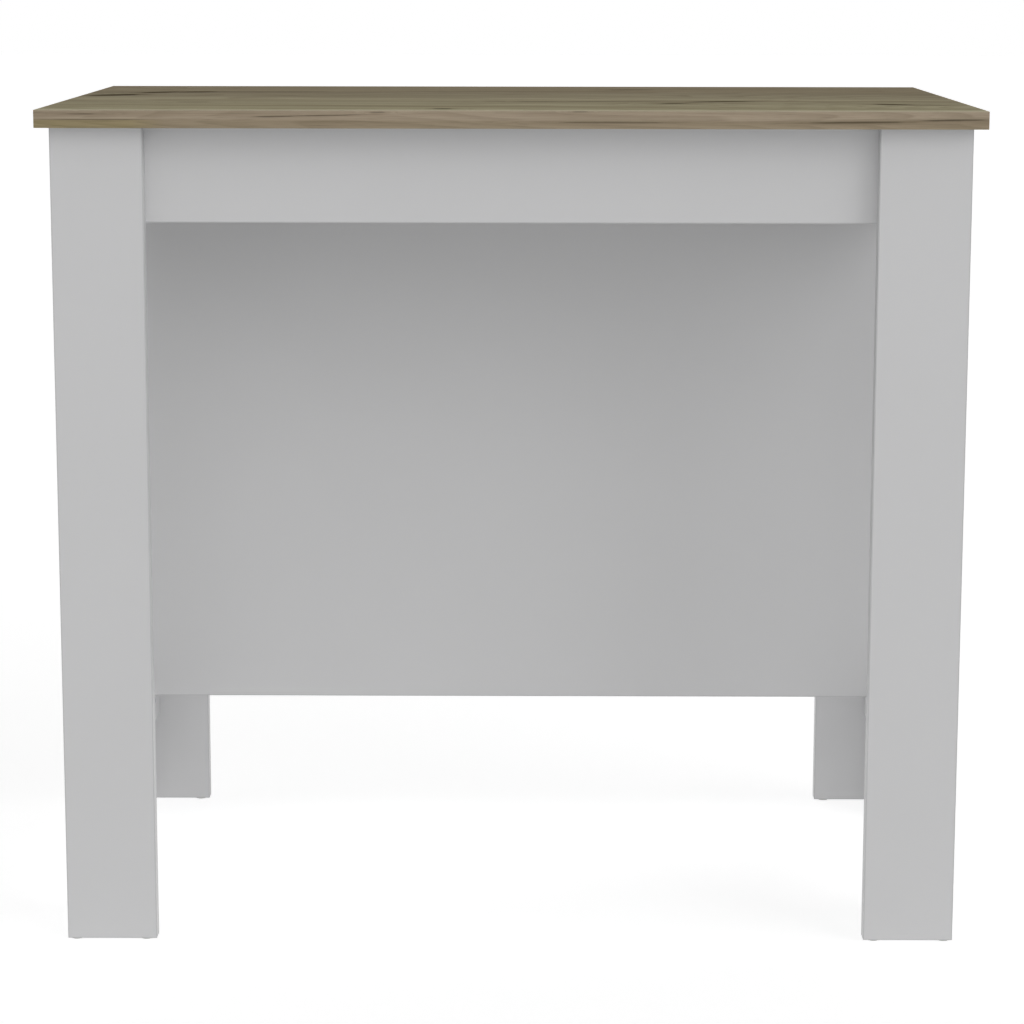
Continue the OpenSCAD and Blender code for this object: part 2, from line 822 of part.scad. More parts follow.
// Half profile of the turned knob: foot, waisted neck, rounded rim and domed face
module knob_profile() {
    r = knob_d / 2;
    rim_y = knob_out - knob_dome_h - knob_rim_r;
    waist_r = (rim_y - knob_rim_r - knob_foot_h) / 2;
    square([knob_foot_r, knob_foot_h]);
    difference() {
        square([knob_neck_r + waist_r / 2, rim_y]);
        translate([knob_neck_r + waist_r, knob_foot_h + waist_r])
            circle(r = waist_r);
    }
    intersection() {
        translate([0, knob_out - knob_dome_r])
            circle(r = knob_dome_r, $fn = 4 * $fn);
        union() {
            translate([0, rim_y - knob_rim_r])
                square([r - knob_rim_r, knob_out - rim_y + knob_rim_r]);
            translate([r - knob_rim_r, rim_y])
                circle(r = knob_rim_r);
        }
        square([r, knob_out]);
    }
}

module knob(sx) {
    color(steel)
        on_side(sx)
            translate([knob_x, door_front_y, knob_z])
                rotate([-90, 0, 0])
                    difference() {
                        rotate_extrude()
                            knob_profile();
                        translate([0, 0, -eps])
                            cylinder(h = knob_screw_bite + bore_room, d = knob_screw_d + 2 * fit);
                    }
}

module knob_screw(sx) {
    color(zinc)
        on_side(sx)
            translate([knob_x, door_back_y, knob_z])
                rotate([-90, 0, 0])
                    pan_screw(knob_screw_d, knob_screw_head_d, knob_screw_head_t,
                        board_t + knob_screw_bite);
}

// One knuckle of a hinge barrel round the pin, the i-th from below
module knuckle(z, i) {
    translate([pin_x, pin_y, z + i * (knuckle_h + knuckle_gap)])
        cylinder(h = knuckle_h, r = barrel_r);
}

// The web that joins a leaf from x0 to x1 to its i-th knuckle
module knuckle_web(z, i, x0, x1) {
    low_z = z + i * (knuckle_h + knuckle_gap);
    block([x0, leaf_y1 - eps, low_z], [x1, pin_y, low_z + knuckle_h]);
}

// One hinge leaf from x0 to x1 at height z, with the knuckles listed in turns
module hinge_leaf(z, x0, x1, turns) {
    difference() {
        union() {
            block([x0, leaf_y0, z], [x1, leaf_y1, z + hinge_h]);
            for (i = turns) {
                knuckle(z, i);
                knuckle_web(z, i, x0, x1);
            }
        }
        translate([pin_x, pin_y, z - 1])
            cylinder(h = hinge_h + 2, d = hinge_pin_d + 2 * pin_fit);
    }
}

module hinge_frame_leaves() {
    color(steel)
        for (sx = SIDES)
            on_side(sx)
                difference() {
                    for (z = hinge_zs)
                        hinge_leaf(z, leg_in_x - hinge_leaf_t, leg_in_x, [0, 2]);
                    leaf_screw_holes(1);
                }
}

module hinge_door_leaves(sx) {
    color(steel)
        on_side(sx)
            difference() {
                for (z = hinge_zs)
                    hinge_leaf(z, door_x1, door_x1 + hinge_leaf_t, [1]);
                leaf_screw_holes(-1);
            }
}

// Hinge pin with a low rounded head at each end
module hinge_pins() {
    head_r = pin_head_d / 2;
    pin_r = hinge_pin_d / 2;
    color(steel)
        for (sx = SIDES, z = hinge_zs)
            on_side(sx)
                translate([pin_x, pin_y, z])
                    rotate_extrude()
                        polygon([[0, -pin_head_t], [head_r * 0.6, -pin_head_t], [head_r, -pin_head_t * 0.4],
                            [head_r, 0], [pin_r, 0], [pin_r, hinge_h], [head_r, hinge_h],
                            [head_r, hinge_h + pin_head_t * 0.4], [head_r * 0.6, hinge_h + pin_head_t],
                            [0, hinge_h + pin_head_t]]);
}

module hinge_frame_screws() {
    color(zinc)
        for (sx = SIDES)
            on_side(sx)
                leaf_screw_places(1)
                    countersunk(leaf_screw_d, leaf_screw_head_d, leaf_screw_l);
}

module hinge_door_screws(sx) {
    color(zinc)
        on_side(sx)
            leaf_screw_places(-1)
                countersunk(leaf_screw_d, leaf_screw_head_d, leaf_screw_l);
}

// Steel pole plates of a catch, standing out of its case towards the strike plate
module pole_plates(room) {
    for (side = SIDES)
        translate([catch_mid_x + side * pole_gap / 2, 0, catch_z])
            block([-pole_t / 2 - room, pole_y1 - pole_depth - room, -pole_h / 2 - room],
                [pole_t / 2 + room, pole_y1, pole_h / 2 + room]);
}

module catch_screw_place() {
    for (side = SIDES)
        translate([catch_x + catch_w, catch_y1 - catch_depth / 2, catch_z + side * catch_screw_dz])
            rotate([0, -90, 0])
                children();
}

module catch_screw_holes() {
    catch_screw_place()
        countersunk_hole(small_screw_d, small_screw_head_d, catch_w + catch_screw_bite);
}

module catch_cases() {
    color(plastic)
        for (sx = SIDES)
            on_side(sx)
                difference() {
                    block([catch_x, catch_y1 - catch_depth, catch_z - catch_h / 2],
                        [catch_x + catch_w, catch_y1, catch_z + catch_h / 2]);
                    pole_plates(fit);
                    catch_screw_holes();
                }
}

module catch_poles() {
    color(zinc)
        for (sx = SIDES)
            on_side(sx)
                pole_plates(0);
}

module catch_screws() {
    color(zinc)
        for (sx = SIDES)
            on_side(sx)
                catch_screw_place()
                    countersunk(small_screw_d, small_screw_head_d, catch_w + catch_screw_bite);
}

// The middle of a strike plate's outer face, looking into the door
module strike_screw_place() {
    translate([catch_mid_x, door_back_y - strike_t, catch_z])
        rotate([-90, 0, 0])
            children();
}

module strike_plate(sx) {
    color(zinc)
        on_side(sx)
            difference() {
                block([catch_mid_x - strike_w / 2, door_back_y - strike_t, catch_z - strike_h / 2],
                    [catch_mid_x + strike_w / 2, door_back_y, catch_z + strike_h / 2]);
                strike_screw_place()
                    countersunk_hole(small_screw_d, small_screw_head_d, strike_t + strike_screw_bite);
            }
}

module strike_screw(sx) {
    color(zinc)
        on_side(sx)
            strike_screw_place()
                countersunk(small_screw_d, small_screw_head_d, strike_t + strike_screw_bite);
}

module cam_locks() {
    color(zinc)
        for (place = all_cams)
            at_cam(place)
                cam_lock();
}

module cam_bolts() {
    color(steel)
        for (place = all_cams)
            cam_bolt_at(place);
}

module dowels() {
    color(beech)
        for (place = all_dowels)
            dowel_at(place);
}

module confirmat_screws() {
    color(zinc)
        for (place = all_confirmats)
            confirmat_at(place);
}

module rail_screws() {
    color(zinc)
        for (place = all_screws)
            rail_screw_at(place);
}

module top_brackets() {
    color(steel)
        for (place = all_brackets)
            at_bracket(place)
                bracket();
}

module bracket_screws() {
    color(zinc)
        for (place = all_brackets)
            at_bracket(place)
                bracket_fasteners(0, 0);
}

module glides() {
    color(plastic)
        for (sx = SIDES, sy = SIDES, p = glide_places(sx, sy))
            translate(p)
                glide();
}

worktop();
worktop_edging();
leg_face(-1, -1);  // leg_face_near_left
leg_face(1, -1);  // leg_face_near_right
leg_face(-1, 1);  // leg_face_far_left
leg_face(1, 1);  // leg_face_far_right
leg_side(-1, -1);  // leg_side_near_left
leg_side(1, -1);  // leg_side_near_right
leg_side(-1, 1);  // leg_side_far_left
leg_side(1, 1);  // leg_side_far_right
apron(-1);  // near_apron
apron(1);  // far_apron
upper_rail(-1);  // upper_rail_left
upper_rail(1);  // upper_rail_right
lower_rail(-1);  // lower_rail_left
lower_rail(1);  // lower_rail_right
knee_panel();
cabinet_floor();
gable(-1);  // gable_left
gable(1);  // gable_right
centre_partition();
shelf(-1);  // shelf_left
shelf(1);  // shelf_right
shelf_pins();
door(-1);  // door_left
door(1);  // door_right
knob(-1);  // knob_left
knob(1);  // knob_right
knob_screw(-1);  // knob_screw_left
knob_screw(1);  // knob_screw_right
hinge_frame_leaves();
hinge_pins();
hinge_frame_screws();
hinge_door_leaves(-1);  // hinge_door_leaves_left
hinge_door_leaves(1);  // hinge_door_leaves_right
hinge_door_screws(-1);  // hinge_door_screws_left
hinge_door_screws(1);  // hinge_door_screws_right
catch_cases();
catch_poles();
catch_screws();
strike_plate(-1);  // strike_plate_left
strike_plate(1);  // strike_plate_right
strike_screw(-1);  // strike_screw_left
strike_screw(1);  // strike_screw_right
cam_locks();
cam_bolts();
dowels();
confirmat_screws();
rail_screws();
top_brackets();
bracket_screws();
glides();
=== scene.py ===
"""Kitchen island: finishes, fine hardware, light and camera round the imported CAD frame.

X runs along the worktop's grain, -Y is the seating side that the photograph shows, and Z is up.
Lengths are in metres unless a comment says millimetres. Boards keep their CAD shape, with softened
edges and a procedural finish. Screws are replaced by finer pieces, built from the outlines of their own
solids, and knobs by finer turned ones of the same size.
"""

import json
import math

import bmesh
import bpy
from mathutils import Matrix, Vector


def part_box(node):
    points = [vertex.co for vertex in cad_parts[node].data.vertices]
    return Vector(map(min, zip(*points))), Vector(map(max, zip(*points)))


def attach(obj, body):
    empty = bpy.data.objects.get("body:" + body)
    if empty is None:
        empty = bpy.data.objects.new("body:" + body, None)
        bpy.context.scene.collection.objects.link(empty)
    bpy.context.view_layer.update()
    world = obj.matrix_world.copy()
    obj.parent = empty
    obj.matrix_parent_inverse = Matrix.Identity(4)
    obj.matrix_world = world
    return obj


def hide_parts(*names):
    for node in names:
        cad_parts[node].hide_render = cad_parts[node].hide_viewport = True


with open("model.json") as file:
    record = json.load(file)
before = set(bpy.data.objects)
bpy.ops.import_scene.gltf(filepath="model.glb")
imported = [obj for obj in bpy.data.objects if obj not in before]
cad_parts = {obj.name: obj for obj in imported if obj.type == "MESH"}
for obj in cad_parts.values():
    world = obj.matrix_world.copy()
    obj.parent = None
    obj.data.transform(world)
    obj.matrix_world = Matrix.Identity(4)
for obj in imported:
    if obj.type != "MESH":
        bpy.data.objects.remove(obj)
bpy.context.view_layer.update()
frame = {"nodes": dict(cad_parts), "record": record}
NODES = frame["nodes"]

MM = 0.001
SIDES = ("left", "right")
BLACK = (0.0, 0.0, 0.0)
WHITE = (1.0, 1.0, 1.0)


def add_object(name, data):
    """A new object with this data, linked to the scene."""
    made = bpy.data.objects.new(name, data)
    bpy.context.scene.collection.objects.link(made)
    return made


def paint(obj, material):
    """Gives the object this material alone."""
    obj.data.materials.clear()
    obj.data.materials.append(material)


# Shader nodes

# Sockets of a Mix node: factor, a and b in, then the result out
MIX_NUMBERS = (0, 2, 3, 0)
MIX_COLOURS = (0, 6, 7, 2)
# Where nearly all values of a noise lie
NOISE_RANGE = (0.3, 0.7)


def rgba(colour):
    """A colour as a node's input takes it. A socket stays as it is."""
    return colour if isinstance(colour, bpy.types.NodeSocket) else (*colour, 1.0)


def tint(colour, factor):
    """The colour made darker or lighter, and never lighter than white."""
    return tuple(min(1.0, channel * factor) for channel in colour)


class Nodes:
    """Fills one emptied node tree. Its methods return output sockets, except node."""

    def __init__(self, tree):
        tree.nodes.clear()
        self.tree = tree

    def node(self, kind, values=None, **settings):
        """A new node. settings are its own fields, and values its inputs, as numbers or sockets."""
        made = self.tree.nodes.new(kind)
        for key, value in settings.items():
            setattr(made, key, value)
        for key, value in (values or {}).items():
            if isinstance(value, bpy.types.NodeSocket):
                self.tree.links.new(value, made.inputs[key])
            else:
                made.inputs[key].default_value = value
        return made

    def math(self, operation, a, b=0.0):
        return self.node("ShaderNodeMath", {0: a, 1: b}, operation=operation).outputs[0]

    def plus(self, a, b):
        return self.math("ADD", a, b)

    def minus(self, a, b):
        return self.math("SUBTRACT", a, b)

    def times(self, a, b):
        return self.math("MULTIPLY", a, b)

    def vector(self, operation, a, b=(0.0, 0.0, 0.0)):
        made = self.node("ShaderNodeVectorMath", {0: a, 1: b}, operation=operation)
        return made.outputs["Value" if operation == "LENGTH" else "Vector"]

    def split(self, vector):
        """The x, y and z of a vector."""
        return self.node("ShaderNodeSeparateXYZ", {0: vector}).outputs[0:3]

    def join(self, x, y, z):
        return self.node("ShaderNodeCombineXYZ", {0: x, 1: y, 2: z}).outputs[0]

    def remap(self, value, low, high, to_low=0.0, to_high=1.0, smooth=False):
        """to_low where value is at low or before it, to_high at high or past it, a ramp between."""
        values = {"Value": value, "From Min": low, "From Max": high, "To Min": to_low, "To Max": to_high}
        ramp = "SMOOTHSTEP" if smooth else "LINEAR"
        return self.node("ShaderNodeMapRange", values, interpolation_type=ramp).outputs["Result"]

    def choose(self, factor, a, b):
        """Number a where factor is 0, and b where it is 1."""
        at_factor, at_a, at_b, result = MIX_NUMBERS
        return self.node("ShaderNodeMix", {at_factor: factor, at_a: a, at_b: b}).outputs[result]

    def mix(self, factor, a, b, blend="MIX"):
        """Colour a where factor is 0, and b laid over it by the blend where factor is 1."""
        at_factor, at_a, at_b, result = MIX_COLOURS
        values = {at_factor: factor, at_a: rgba(a), at_b: rgba(b)}
        return self.node("ShaderNodeMix", values, data_type="RGBA", blend_type=blend).outputs[result]

    def looked_at(self):
        """1 where the camera looks, also by way of metal or glass, and 0 for light on the object."""
        path = self.node("ShaderNodeLightPath").outputs
        bounced = self.math("MAXIMUM", path["Is Glossy Ray"], path["Is Transmission Ray"])
        return self.math("MAXIMUM", path["Is Camera Ray"], bounced)


class Shader(Nodes):
    """The nodes of one new material. place is a point of the object, and facing its normal there."""

    def __init__(self, name):
        self.material = bpy.data.materials.new(name)
        self.material.use_nodes = True
        super().__init__(self.material.node_tree)
        coords = self.node("ShaderNodeTexCoord").outputs
        self.place = coords["Object"]
        self.facing = coords["Normal"]

    def noise(self, stretch, detail=2.0, roughness=0.5, seed=0.0, place=None):
        """Noise from 0 to 1. stretch is its cycles per metre, in one number or one for each axis."""
        stretch = stretch if isinstance(stretch, tuple) else (stretch, stretch, stretch)
        spot = self.vector("MULTIPLY", self.place if place is None else place, stretch)
        spot = self.vector("ADD", spot, (seed, seed * 1.7, seed * 2.3))
        values = {"Vector": spot, "Scale": 1.0, "Detail": detail, "Roughness": roughness}
        return self.node("ShaderNodeTexNoise", values).outputs["Fac"]

    def clouded(self, colour, cloud, dark, pale):
        """The colour between its darker and its paler tint, as the noise cloud says."""
        return self.mix(cloud, tint(colour, dark), tint(colour, pale))

    def grained(self, grain, roughness, below, above):
        """The roughness, from below it to above it, as the noise grain says."""
        return self.remap(grain, *NOISE_RANGE, roughness - below, roughness + above)

    def bump(self, height, distance, strength):
        values = {"Strength": strength, "Distance": distance, "Height": height}
        return self.node("ShaderNodeBump", values).outputs["Normal"]

    def finish(self, colour, roughness, normal, specular=0.5, metallic=0.0):
        """Ends the material with one Principled shader, and returns the material."""
        values = {
            "Base Color": rgba(colour),
            "Roughness": roughness,
            "Normal": normal,
            "Specular IOR Level": specular,
            "Metallic": metallic,
        }
        shader = self.node("ShaderNodeBsdfPrincipled", values)
        self.node("ShaderNodeOutputMaterial", {"Surface": shader.outputs[0]})
        return self.material


# Oak decor. Colours here and below are linear reflectance

# Light, mid, dark and streak
OAK_TOP = ((0.425, 0.378, 0.272), (0.350, 0.306, 0.215), (0.200, 0.162, 0.107), (0.070, 0.053, 0.034))
OAK_EDGE = ((0.425, 0.345, 0.250), (0.360, 0.290, 0.205), (0.205, 0.160, 0.100), (0.060, 0.043, 0.026))
OAK_ROUGHNESS = (0.62, 0.74)
# Height and strength of the relief, and how lines raise it and pores lower it
OAK_RELIEF = 0.12 * MM
RELIEF_STRENGTH = 0.6
LINE_RELIEF = 0.5
PORE_RELIEF = 0.6

# Noises: cycles per metre along the grain and across it, detail, roughness, and what seed adds
OAK_NOISES = {
    "bend": (1.3, 4.5, 2.0, 0.50, 0),
    "ragged": (9.0, 60.0, 3.0, 0.60, 29),
    "fray": (60.0, 420.0, 3.0, 0.65, 31),
    "figure": (0.85, 4.6, 1.6, 0.50, 3),
    "plank": (0.7, 5.0, 2.0, 0.50, 5),
    "bands": (1.2, 36.0, 3.0, 0.55, 7),
    "lines": (3.2, 190.0, 4.0, 0.65, 11),
    "pores": (42.0, 1300.0, 2.0, 0.50, 17),
    "streaks": (1.7, 26.0, 5.0, 0.62, 23),
}
# Layers over the ground colour: noise, where it starts and is full, strength, tone, smooth ramp
OAK_LAYERS = [
    ("bands", 0.46, 0.70, 0.50, "dark", True),
    ("lines", 0.50, 0.78, 0.55, "dark", False),
    ("pores", 0.58, 0.76, 0.48, "streak", False),
    ("streaks", 0.67, 0.76, 0.75, "streak", True),
]
PLANK_RANGE = (0.36, 0.64)
# How far the bend noise moves the grain, towards Y and up
BEND_ACROSS = 0.030
BEND_UP = 0.010

# Rings to one unit of the figure's height, and how each rises slowly and falls at once
RING_COUNT = 34.0
RING_RISE = (0.35, 0.92)
RING_FALL = (0.92, 1.0)
RING_STRENGTH = 0.34

# Knots. A knot's half size through its face, then distances from its centre in half sizes: what
# noise adds to them, where the swell of the figure starts and ends with its height, and where
# the core and the halo start to fade and are gone. Last come the halo's strength against the
# core's, and the core's darker tint with the range of the fray noise that shows it
KNOT_DEPTH = 0.02
KNOT_RAGGED = 0.9
KNOT_FRAYED = 0.55
KNOT_SWELL = (0.0, 3.0, 0.09)
KNOT_CORE = (0.62, 0.98)
KNOT_HALO = (0.80, 1.90)
HALO_STRENGTH = 0.60
HEART_TINT = 0.45
HEART_RANGE = (-0.12, 0.10)

# Slow changes of tone from the front of the worktop to its back
TOP_FRONT = (1.30, 1.33, 1.25)
TOP_BACK = (1.11, 1.08, 1.06)
TOP_DEPTH = (-0.29, 0.22)
# Darker staves of the worktop, front to back: where each starts and ends, its soft edge, its darkness
TOP_STAVES = [
    (-0.175, -0.075, 0.030, 0.07),
    (-0.035, 0.155, 0.035, 0.14),
    (0.078, 0.138, 0.025, 0.06),
]
STAVE_BEND = 0.06
# The painted highlight along the worktop's front rim: where it starts and is full, strength and colour
TOP_HIGHLIGHT_PLACE = (-0.255, -0.288)
TOP_HIGHLIGHT_STRENGTH = 0.75
TOP_RIM_HIGHLIGHT = (0.70, 0.65, 0.46)
# The balancing sheet under the worktop, between its dark and pale fibres, made nearly black as painted
# shade for the band just under the worktop. The photograph shows no warm light on the white boards below,
# so the sheet is dark and neutral
BACKING_SHADE_DARK = (0.052, 0.051, 0.049)
BACKING_SHADE_PALE = (0.100, 0.097, 0.093)
BACKING_SHADE_FIBRES = (0.38, 0.66)
BACKING_SHADE_FACING = (-0.4, -0.6)

# The edge: its figure is this much finer from low to high than along the grain
EDGE_RISE = 3.0
EDGE_BEND = 0.003
# Tones below and above a step in its height, and an olive stretch of the lower one at its left end
EDGE_LOW = (0.90, 0.90, 0.86)
EDGE_HIGH = (1.02, 1.02, 1.04)
EDGE_STEP = (0.9008, 0.9026)
EDGE_OLIVE = (0.98, 1.00, 0.78)
OLIVE_END = (-0.400, -0.362)
OLIVE_STRENGTH = 0.8
# Pale lines along the edge: height, half width and strength
EDGE_LINES = [(0.9110, 0.0018, 0.13), (0.9042, 0.0018, 0.08), (0.8940, 0.0013, 0.05)]
# The painted highlight on the rounded upper rim, from where it starts to face up. Its colour also tints
# the pale lines
EDGE_LINE_AND_HIGHLIGHT = (0.66, 0.60, 0.45)
EDGE_HIGHLIGHT_FACING = (0.25, 0.6)
EDGE_HIGHLIGHT_STRENGTH = 0.9

# An end of the edging is where its normal's part along X passes these
END_FACING = (0.6, 0.8)

# Knots and dark streaks on the worktop's top, at TOP_Z: x, y, half sizes, darkness and slope
TOP_Z = 0.912
TOP_KNOTS = [
    (-0.462, 0.046, 0.034, 0.017, 0.95, 0.40),
    (-0.418, 0.118, 0.026, 0.015, 0.85, 0.60),
    (-0.374, 0.130, 0.030, 0.013, 0.85, 0.20),
    (-0.290, 0.137, 0.090, 0.007, 0.60, 0.05),
    (-0.050, 0.149, 0.190, 0.005, 0.45, 0.06),
    (-0.353, -0.121, 0.018, 0.006, 0.40, 0.00),
    (-0.073, -0.260, 0.013, 0.009, 1.00, 0.10),
    (-0.019, -0.090, 0.018, 0.004, 0.60, 0.00),
    (0.028, -0.096, 0.032, 0.005, 0.60, 0.00),
    (0.115, -0.085, 0.080, 0.005, 0.60, 0.18),
    (0.176, -0.138, 0.024, 0.010, 0.85, 0.34),
    (0.233, -0.088, 0.048, 0.012, 0.80, 0.35),
    (0.417, -0.149, 0.028, 0.010, 0.98, -0.30),
    (0.460, -0.159, 0.026, 0.005, 0.70, -0.13),
    (0.140, 0.205, 0.030, 0.010, 0.50, 0.10),
]
# The same on its front edge, at FRONT_Y: x, z, half sizes, darkness and slope
FRONT_Y = -0.29
EDGE_KNOTS = [
    (-0.451, 0.9077, 0.020, 0.0007, 0.50, 0.000),
    (-0.248, 0.9054, 0.030, 0.0009, 0.62, 0.020),
    (-0.195, 0.9066, 0.044, 0.0007, 0.55, 0.020),
    (-0.433, 0.9018, 0.065, 0.0007, 0.38, 0.000),
    (0.105, 0.9000, 0.064, 0.0009, 0.45, 0.000),
    (0.072, 0.9109, 0.010, 0.0007, 0.50, 0.000),
    (0.366, 0.9004, 0.054, 0.0010, 0.60, 0.006),
    (0.465, 0.9025, 0.040, 0.0009, 0.68, 0.015),
    (-0.140, 0.9101, 0.009, 0.0007, 0.50, 0.000),
]


class Oak(Shader):
    """Knotty oak decor. OakTop and OakEdge say how it lies on their face, and shade it there."""

    def __init__(self, name, tones, seed):
        super().__init__(name)
        self.tones = dict(zip(("light", "mid", "dark", "streak"), tones))
        self.seed = seed
        self.x, self.y, self.z = self.split(self.place)
        straight = self.along_grain()
        self.bend = self.minus(self.grain("bend", straight), 0.5)
        shift = self.join(0.0, self.times(self.bend, BEND_ACROSS), self.times(self.bend, BEND_UP))
        self.bent = self.vector("ADD", straight, shift)
        self.ragged = self.minus(self.grain("ragged", self.bent), 0.5)
        self.fray = self.minus(self.grain("fray", self.bent), 0.5)
        self.layers = {layer[0]: self.grain(layer[0], self.bent) for layer in OAK_LAYERS}

    def grain(self, name, place):
        """One of OAK_NOISES."""
        along, across, detail, roughness, seed = OAK_NOISES[name]
        return self.noise((along, across, across), detail, roughness, self.seed + seed, place)

    def knot(self, x, across, half_x, half_across, strength, slope):
        """How much one knot swells the figure, and the strengths of its dark core and its halo."""
        centre = self.arrange(x, across * self.rise, self.face)
        half = self.arrange(half_x, half_across * self.rise, KNOT_DEPTH)
        offset = self.vector("SUBTRACT", self.bent, centre)
        lean = self.times(self.split(offset)[0], -slope * self.rise)
        offset = self.vector("ADD", offset, self.join(*self.arrange(0.0, lean, 0.0)))
        scaled = self.vector("MULTIPLY", offset, tuple(1.0 / size for size in half))
        away = self.plus(self.vector("LENGTH", scaled), self.times(self.ragged, KNOT_RAGGED))
        frayed = self.plus(away, self.times(self.fray, KNOT_FRAYED))
        swell = self.remap(away, *KNOT_SWELL, 0.0, smooth=True)
        core = self.remap(frayed, *KNOT_CORE, strength, 0.0, smooth=True)
        halo = self.remap(frayed, *KNOT_HALO, HALO_STRENGTH * strength, 0.0, smooth=True)
        return swell, core, halo

    def figure(self, knots):
        """The growth rings, which are contours of a slow height field, and the knots' cores and halos."""
        height = self.grain("figure", self.bent)
        cores = halos = 0.0
        for row in knots:
            swell, core, halo = self.knot(*row)
            height = self.plus(height, swell)
            cores = self.math("MAXIMUM", core, cores)
            halos = self.math("MAXIMUM", halo, halos)
        turn = self.math("FRACT", self.times(height, RING_COUNT))
        rings = self.times(self.remap(turn, *RING_RISE), self.remap(turn, *RING_FALL, 1.0, 0.0))
        return rings, cores, halos

    def ground(self, rings):
        """The wood without its knots: slow planks, rings, and the layers of grain."""
        plank = self.remap(self.grain("plank", self.bent), *PLANK_RANGE, smooth=True)
        colour = self.mix(plank, self.tones["mid"], self.tones["light"])
        colour = self.mix(self.times(rings, RING_STRENGTH), colour, self.tones["dark"])
        for name, start, full, strength, tone, smooth in OAK_LAYERS:
            cover = self.remap(self.layers[name], start, full, 0.0, strength, smooth)
            colour = self.mix(cover, colour, self.tones[tone])
        return colour

    def dress(self, knots, specular):
        """The whole material, with the knots laid over the ground and a fine relief of pores."""
        rings, cores, halos = self.figure(knots)
        streak = self.tones["streak"]
        heart = self.mix(self.remap(self.fray, *HEART_RANGE), tint(streak, HEART_TINT), streak)
        colour = self.mix(halos, self.ground(rings), self.tones["dark"])
        colour = self.shade(self.mix(cores, colour, heart))
        lines, pores = self.layers["lines"], self.layers["pores"]
        relief = self.minus(self.times(lines, LINE_RELIEF), self.times(pores, PORE_RELIEF))
        normal = self.bump(relief, OAK_RELIEF, RELIEF_STRENGTH)
        roughness = self.remap(lines, *NOISE_RANGE, *OAK_ROUGHNESS)
        return self.finish(colour, roughness, normal, specular)


class OakTop(Oak):
    """The worktop's top, with a painted highlight along its front rim and a nearly black balancing sheet
    on its underside as painted shade.
    """

    face = TOP_Z
    rise = 1.0

    def along_grain(self):
        return self.place

    def arrange(self, along, across, through):
        """x, y and z of what lies along the grain, across it and through the face."""
        return along, across, through

    def shade(self, colour):
        """Adds the tones from front to back, the staves, a painted highlight on the front rim, and the
        nearly black sheet on the underside as painted shade.
        """
        depth = self.remap(self.y, *TOP_DEPTH, smooth=True)
        colour = self.mix(1.0, colour, self.mix(depth, TOP_FRONT, TOP_BACK), "MULTIPLY")
        lane = self.plus(self.y, self.times(self.bend, STAVE_BEND))
        for start, end, soft, darkness in TOP_STAVES:
            begun = self.remap(lane, start, start + soft, smooth=True)
            ended = self.remap(lane, end - soft, end, darkness, 0.0, smooth=True)
            colour = self.mix(self.times(begun, ended), colour, BLACK)
        # Painted highlight: the top is lightened towards its front rim.
        rim = self.remap(self.y, *TOP_HIGHLIGHT_PLACE, 0.0, TOP_HIGHLIGHT_STRENGTH)
        colour = self.mix(rim, colour, TOP_RIM_HIGHLIGHT)
        # Painted shade: where the normal faces down, the underside takes the nearly black sheet, which
        # darkens the boards just under the worktop.
        below = self.remap(self.split(self.facing)[2], *BACKING_SHADE_FACING)
        fibres = self.remap(self.layers["bands"], *BACKING_SHADE_FIBRES, smooth=True)
        return self.mix(below, colour, self.mix(fibres, BACKING_SHADE_DARK, BACKING_SHADE_PALE))


class OakEdge(Oak):
    """The worktop's edging, with the grain along Y on its ends."""

    face = FRONT_Y
    rise = EDGE_RISE

    def along_grain(self):
        ends = self.remap(self.math("ABSOLUTE", self.split(self.facing)[0]), *END_FACING)
        along = self.choose(ends, self.x, self.y)
        across = self.choose(ends, self.y, self.x)
        return self.join(along, across, self.times(self.z, EDGE_RISE))

    def arrange(self, along, across, through):
        """x, y and z of what lies along the grain, across it and through the face."""
        return along, through, across

    def shade(self, colour):
        """Adds the tones below and above the step, the pale lines and a painted highlight on the upper
        rim.
        """
        level = self.plus(self.z, self.times(self.bend, EDGE_BEND))
        upper = self.remap(level, *EDGE_STEP, smooth=True)
        olive = self.times(self.remap(self.x, *OLIVE_END, 1.0, 0.0), self.minus(1.0, upper))
        colour = self.mix(1.0, colour, self.mix(upper, EDGE_LOW, EDGE_HIGH), "MULTIPLY")
        colour = self.mix(self.times(olive, OLIVE_STRENGTH), colour, EDGE_OLIVE, "MULTIPLY")
        for height, half, strength in EDGE_LINES:
            off = self.math("ABSOLUTE", self.minus(level, height))
            line = self.remap(off, 0.0, half, strength, 0.0, smooth=True)
            colour = self.mix(line, colour, EDGE_LINE_AND_HIGHLIGHT)
        # Painted highlight: the rim is lighter where its normal turns up.
        rim = self.remap(self.split(self.facing)[2], *EDGE_HIGHLIGHT_FACING, 0.0, EDGE_HIGHLIGHT_STRENGTH)
        return self.mix(rim, colour, EDGE_LINE_AND_HIGHLIGHT)


# White boards

WHITE_BOARD = (0.69, 0.69, 0.695)
WHITE_FRONT = (0.70, 0.70, 0.705)
BOARD_ROUGHNESS = 0.42
FRONT_ROUGHNESS = 0.34
BOARD_SPECULAR = 0.35
# The edging band as it shows round a board's face: thickness, half of its blur, tone against the face,
# partly the edging's own and partly painted shade on the narrow faces, and half the width, cover, tone
# and sinking of the joint beside it
BAND = 1.0 * MM
BAND_BLUR = 0.05 * MM
EDGING_TONE_AND_SHADE = 0.84
JOINT_HALF = 0.15 * MM
JOINT_COVER = 0.35
JOINT_TINT = 0.55
JOINT_SINK = 0.5


def gap_to_rim(s, node):
    """How far a point of a board's face is from the nearest border of that face."""
    low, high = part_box(node)
    size = high - low
    thin = min(range(3), key=lambda axis: size[axis])
    place = s.split(s.place)
    gaps = []
    for axis in range(3):
        if axis != thin:
            near = s.minus(place[axis], low[axis])
            far = s.minus(high[axis], place[axis])
            gaps.append(s.math("MINIMUM", near, far))
    return s.math("MINIMUM", *gaps)


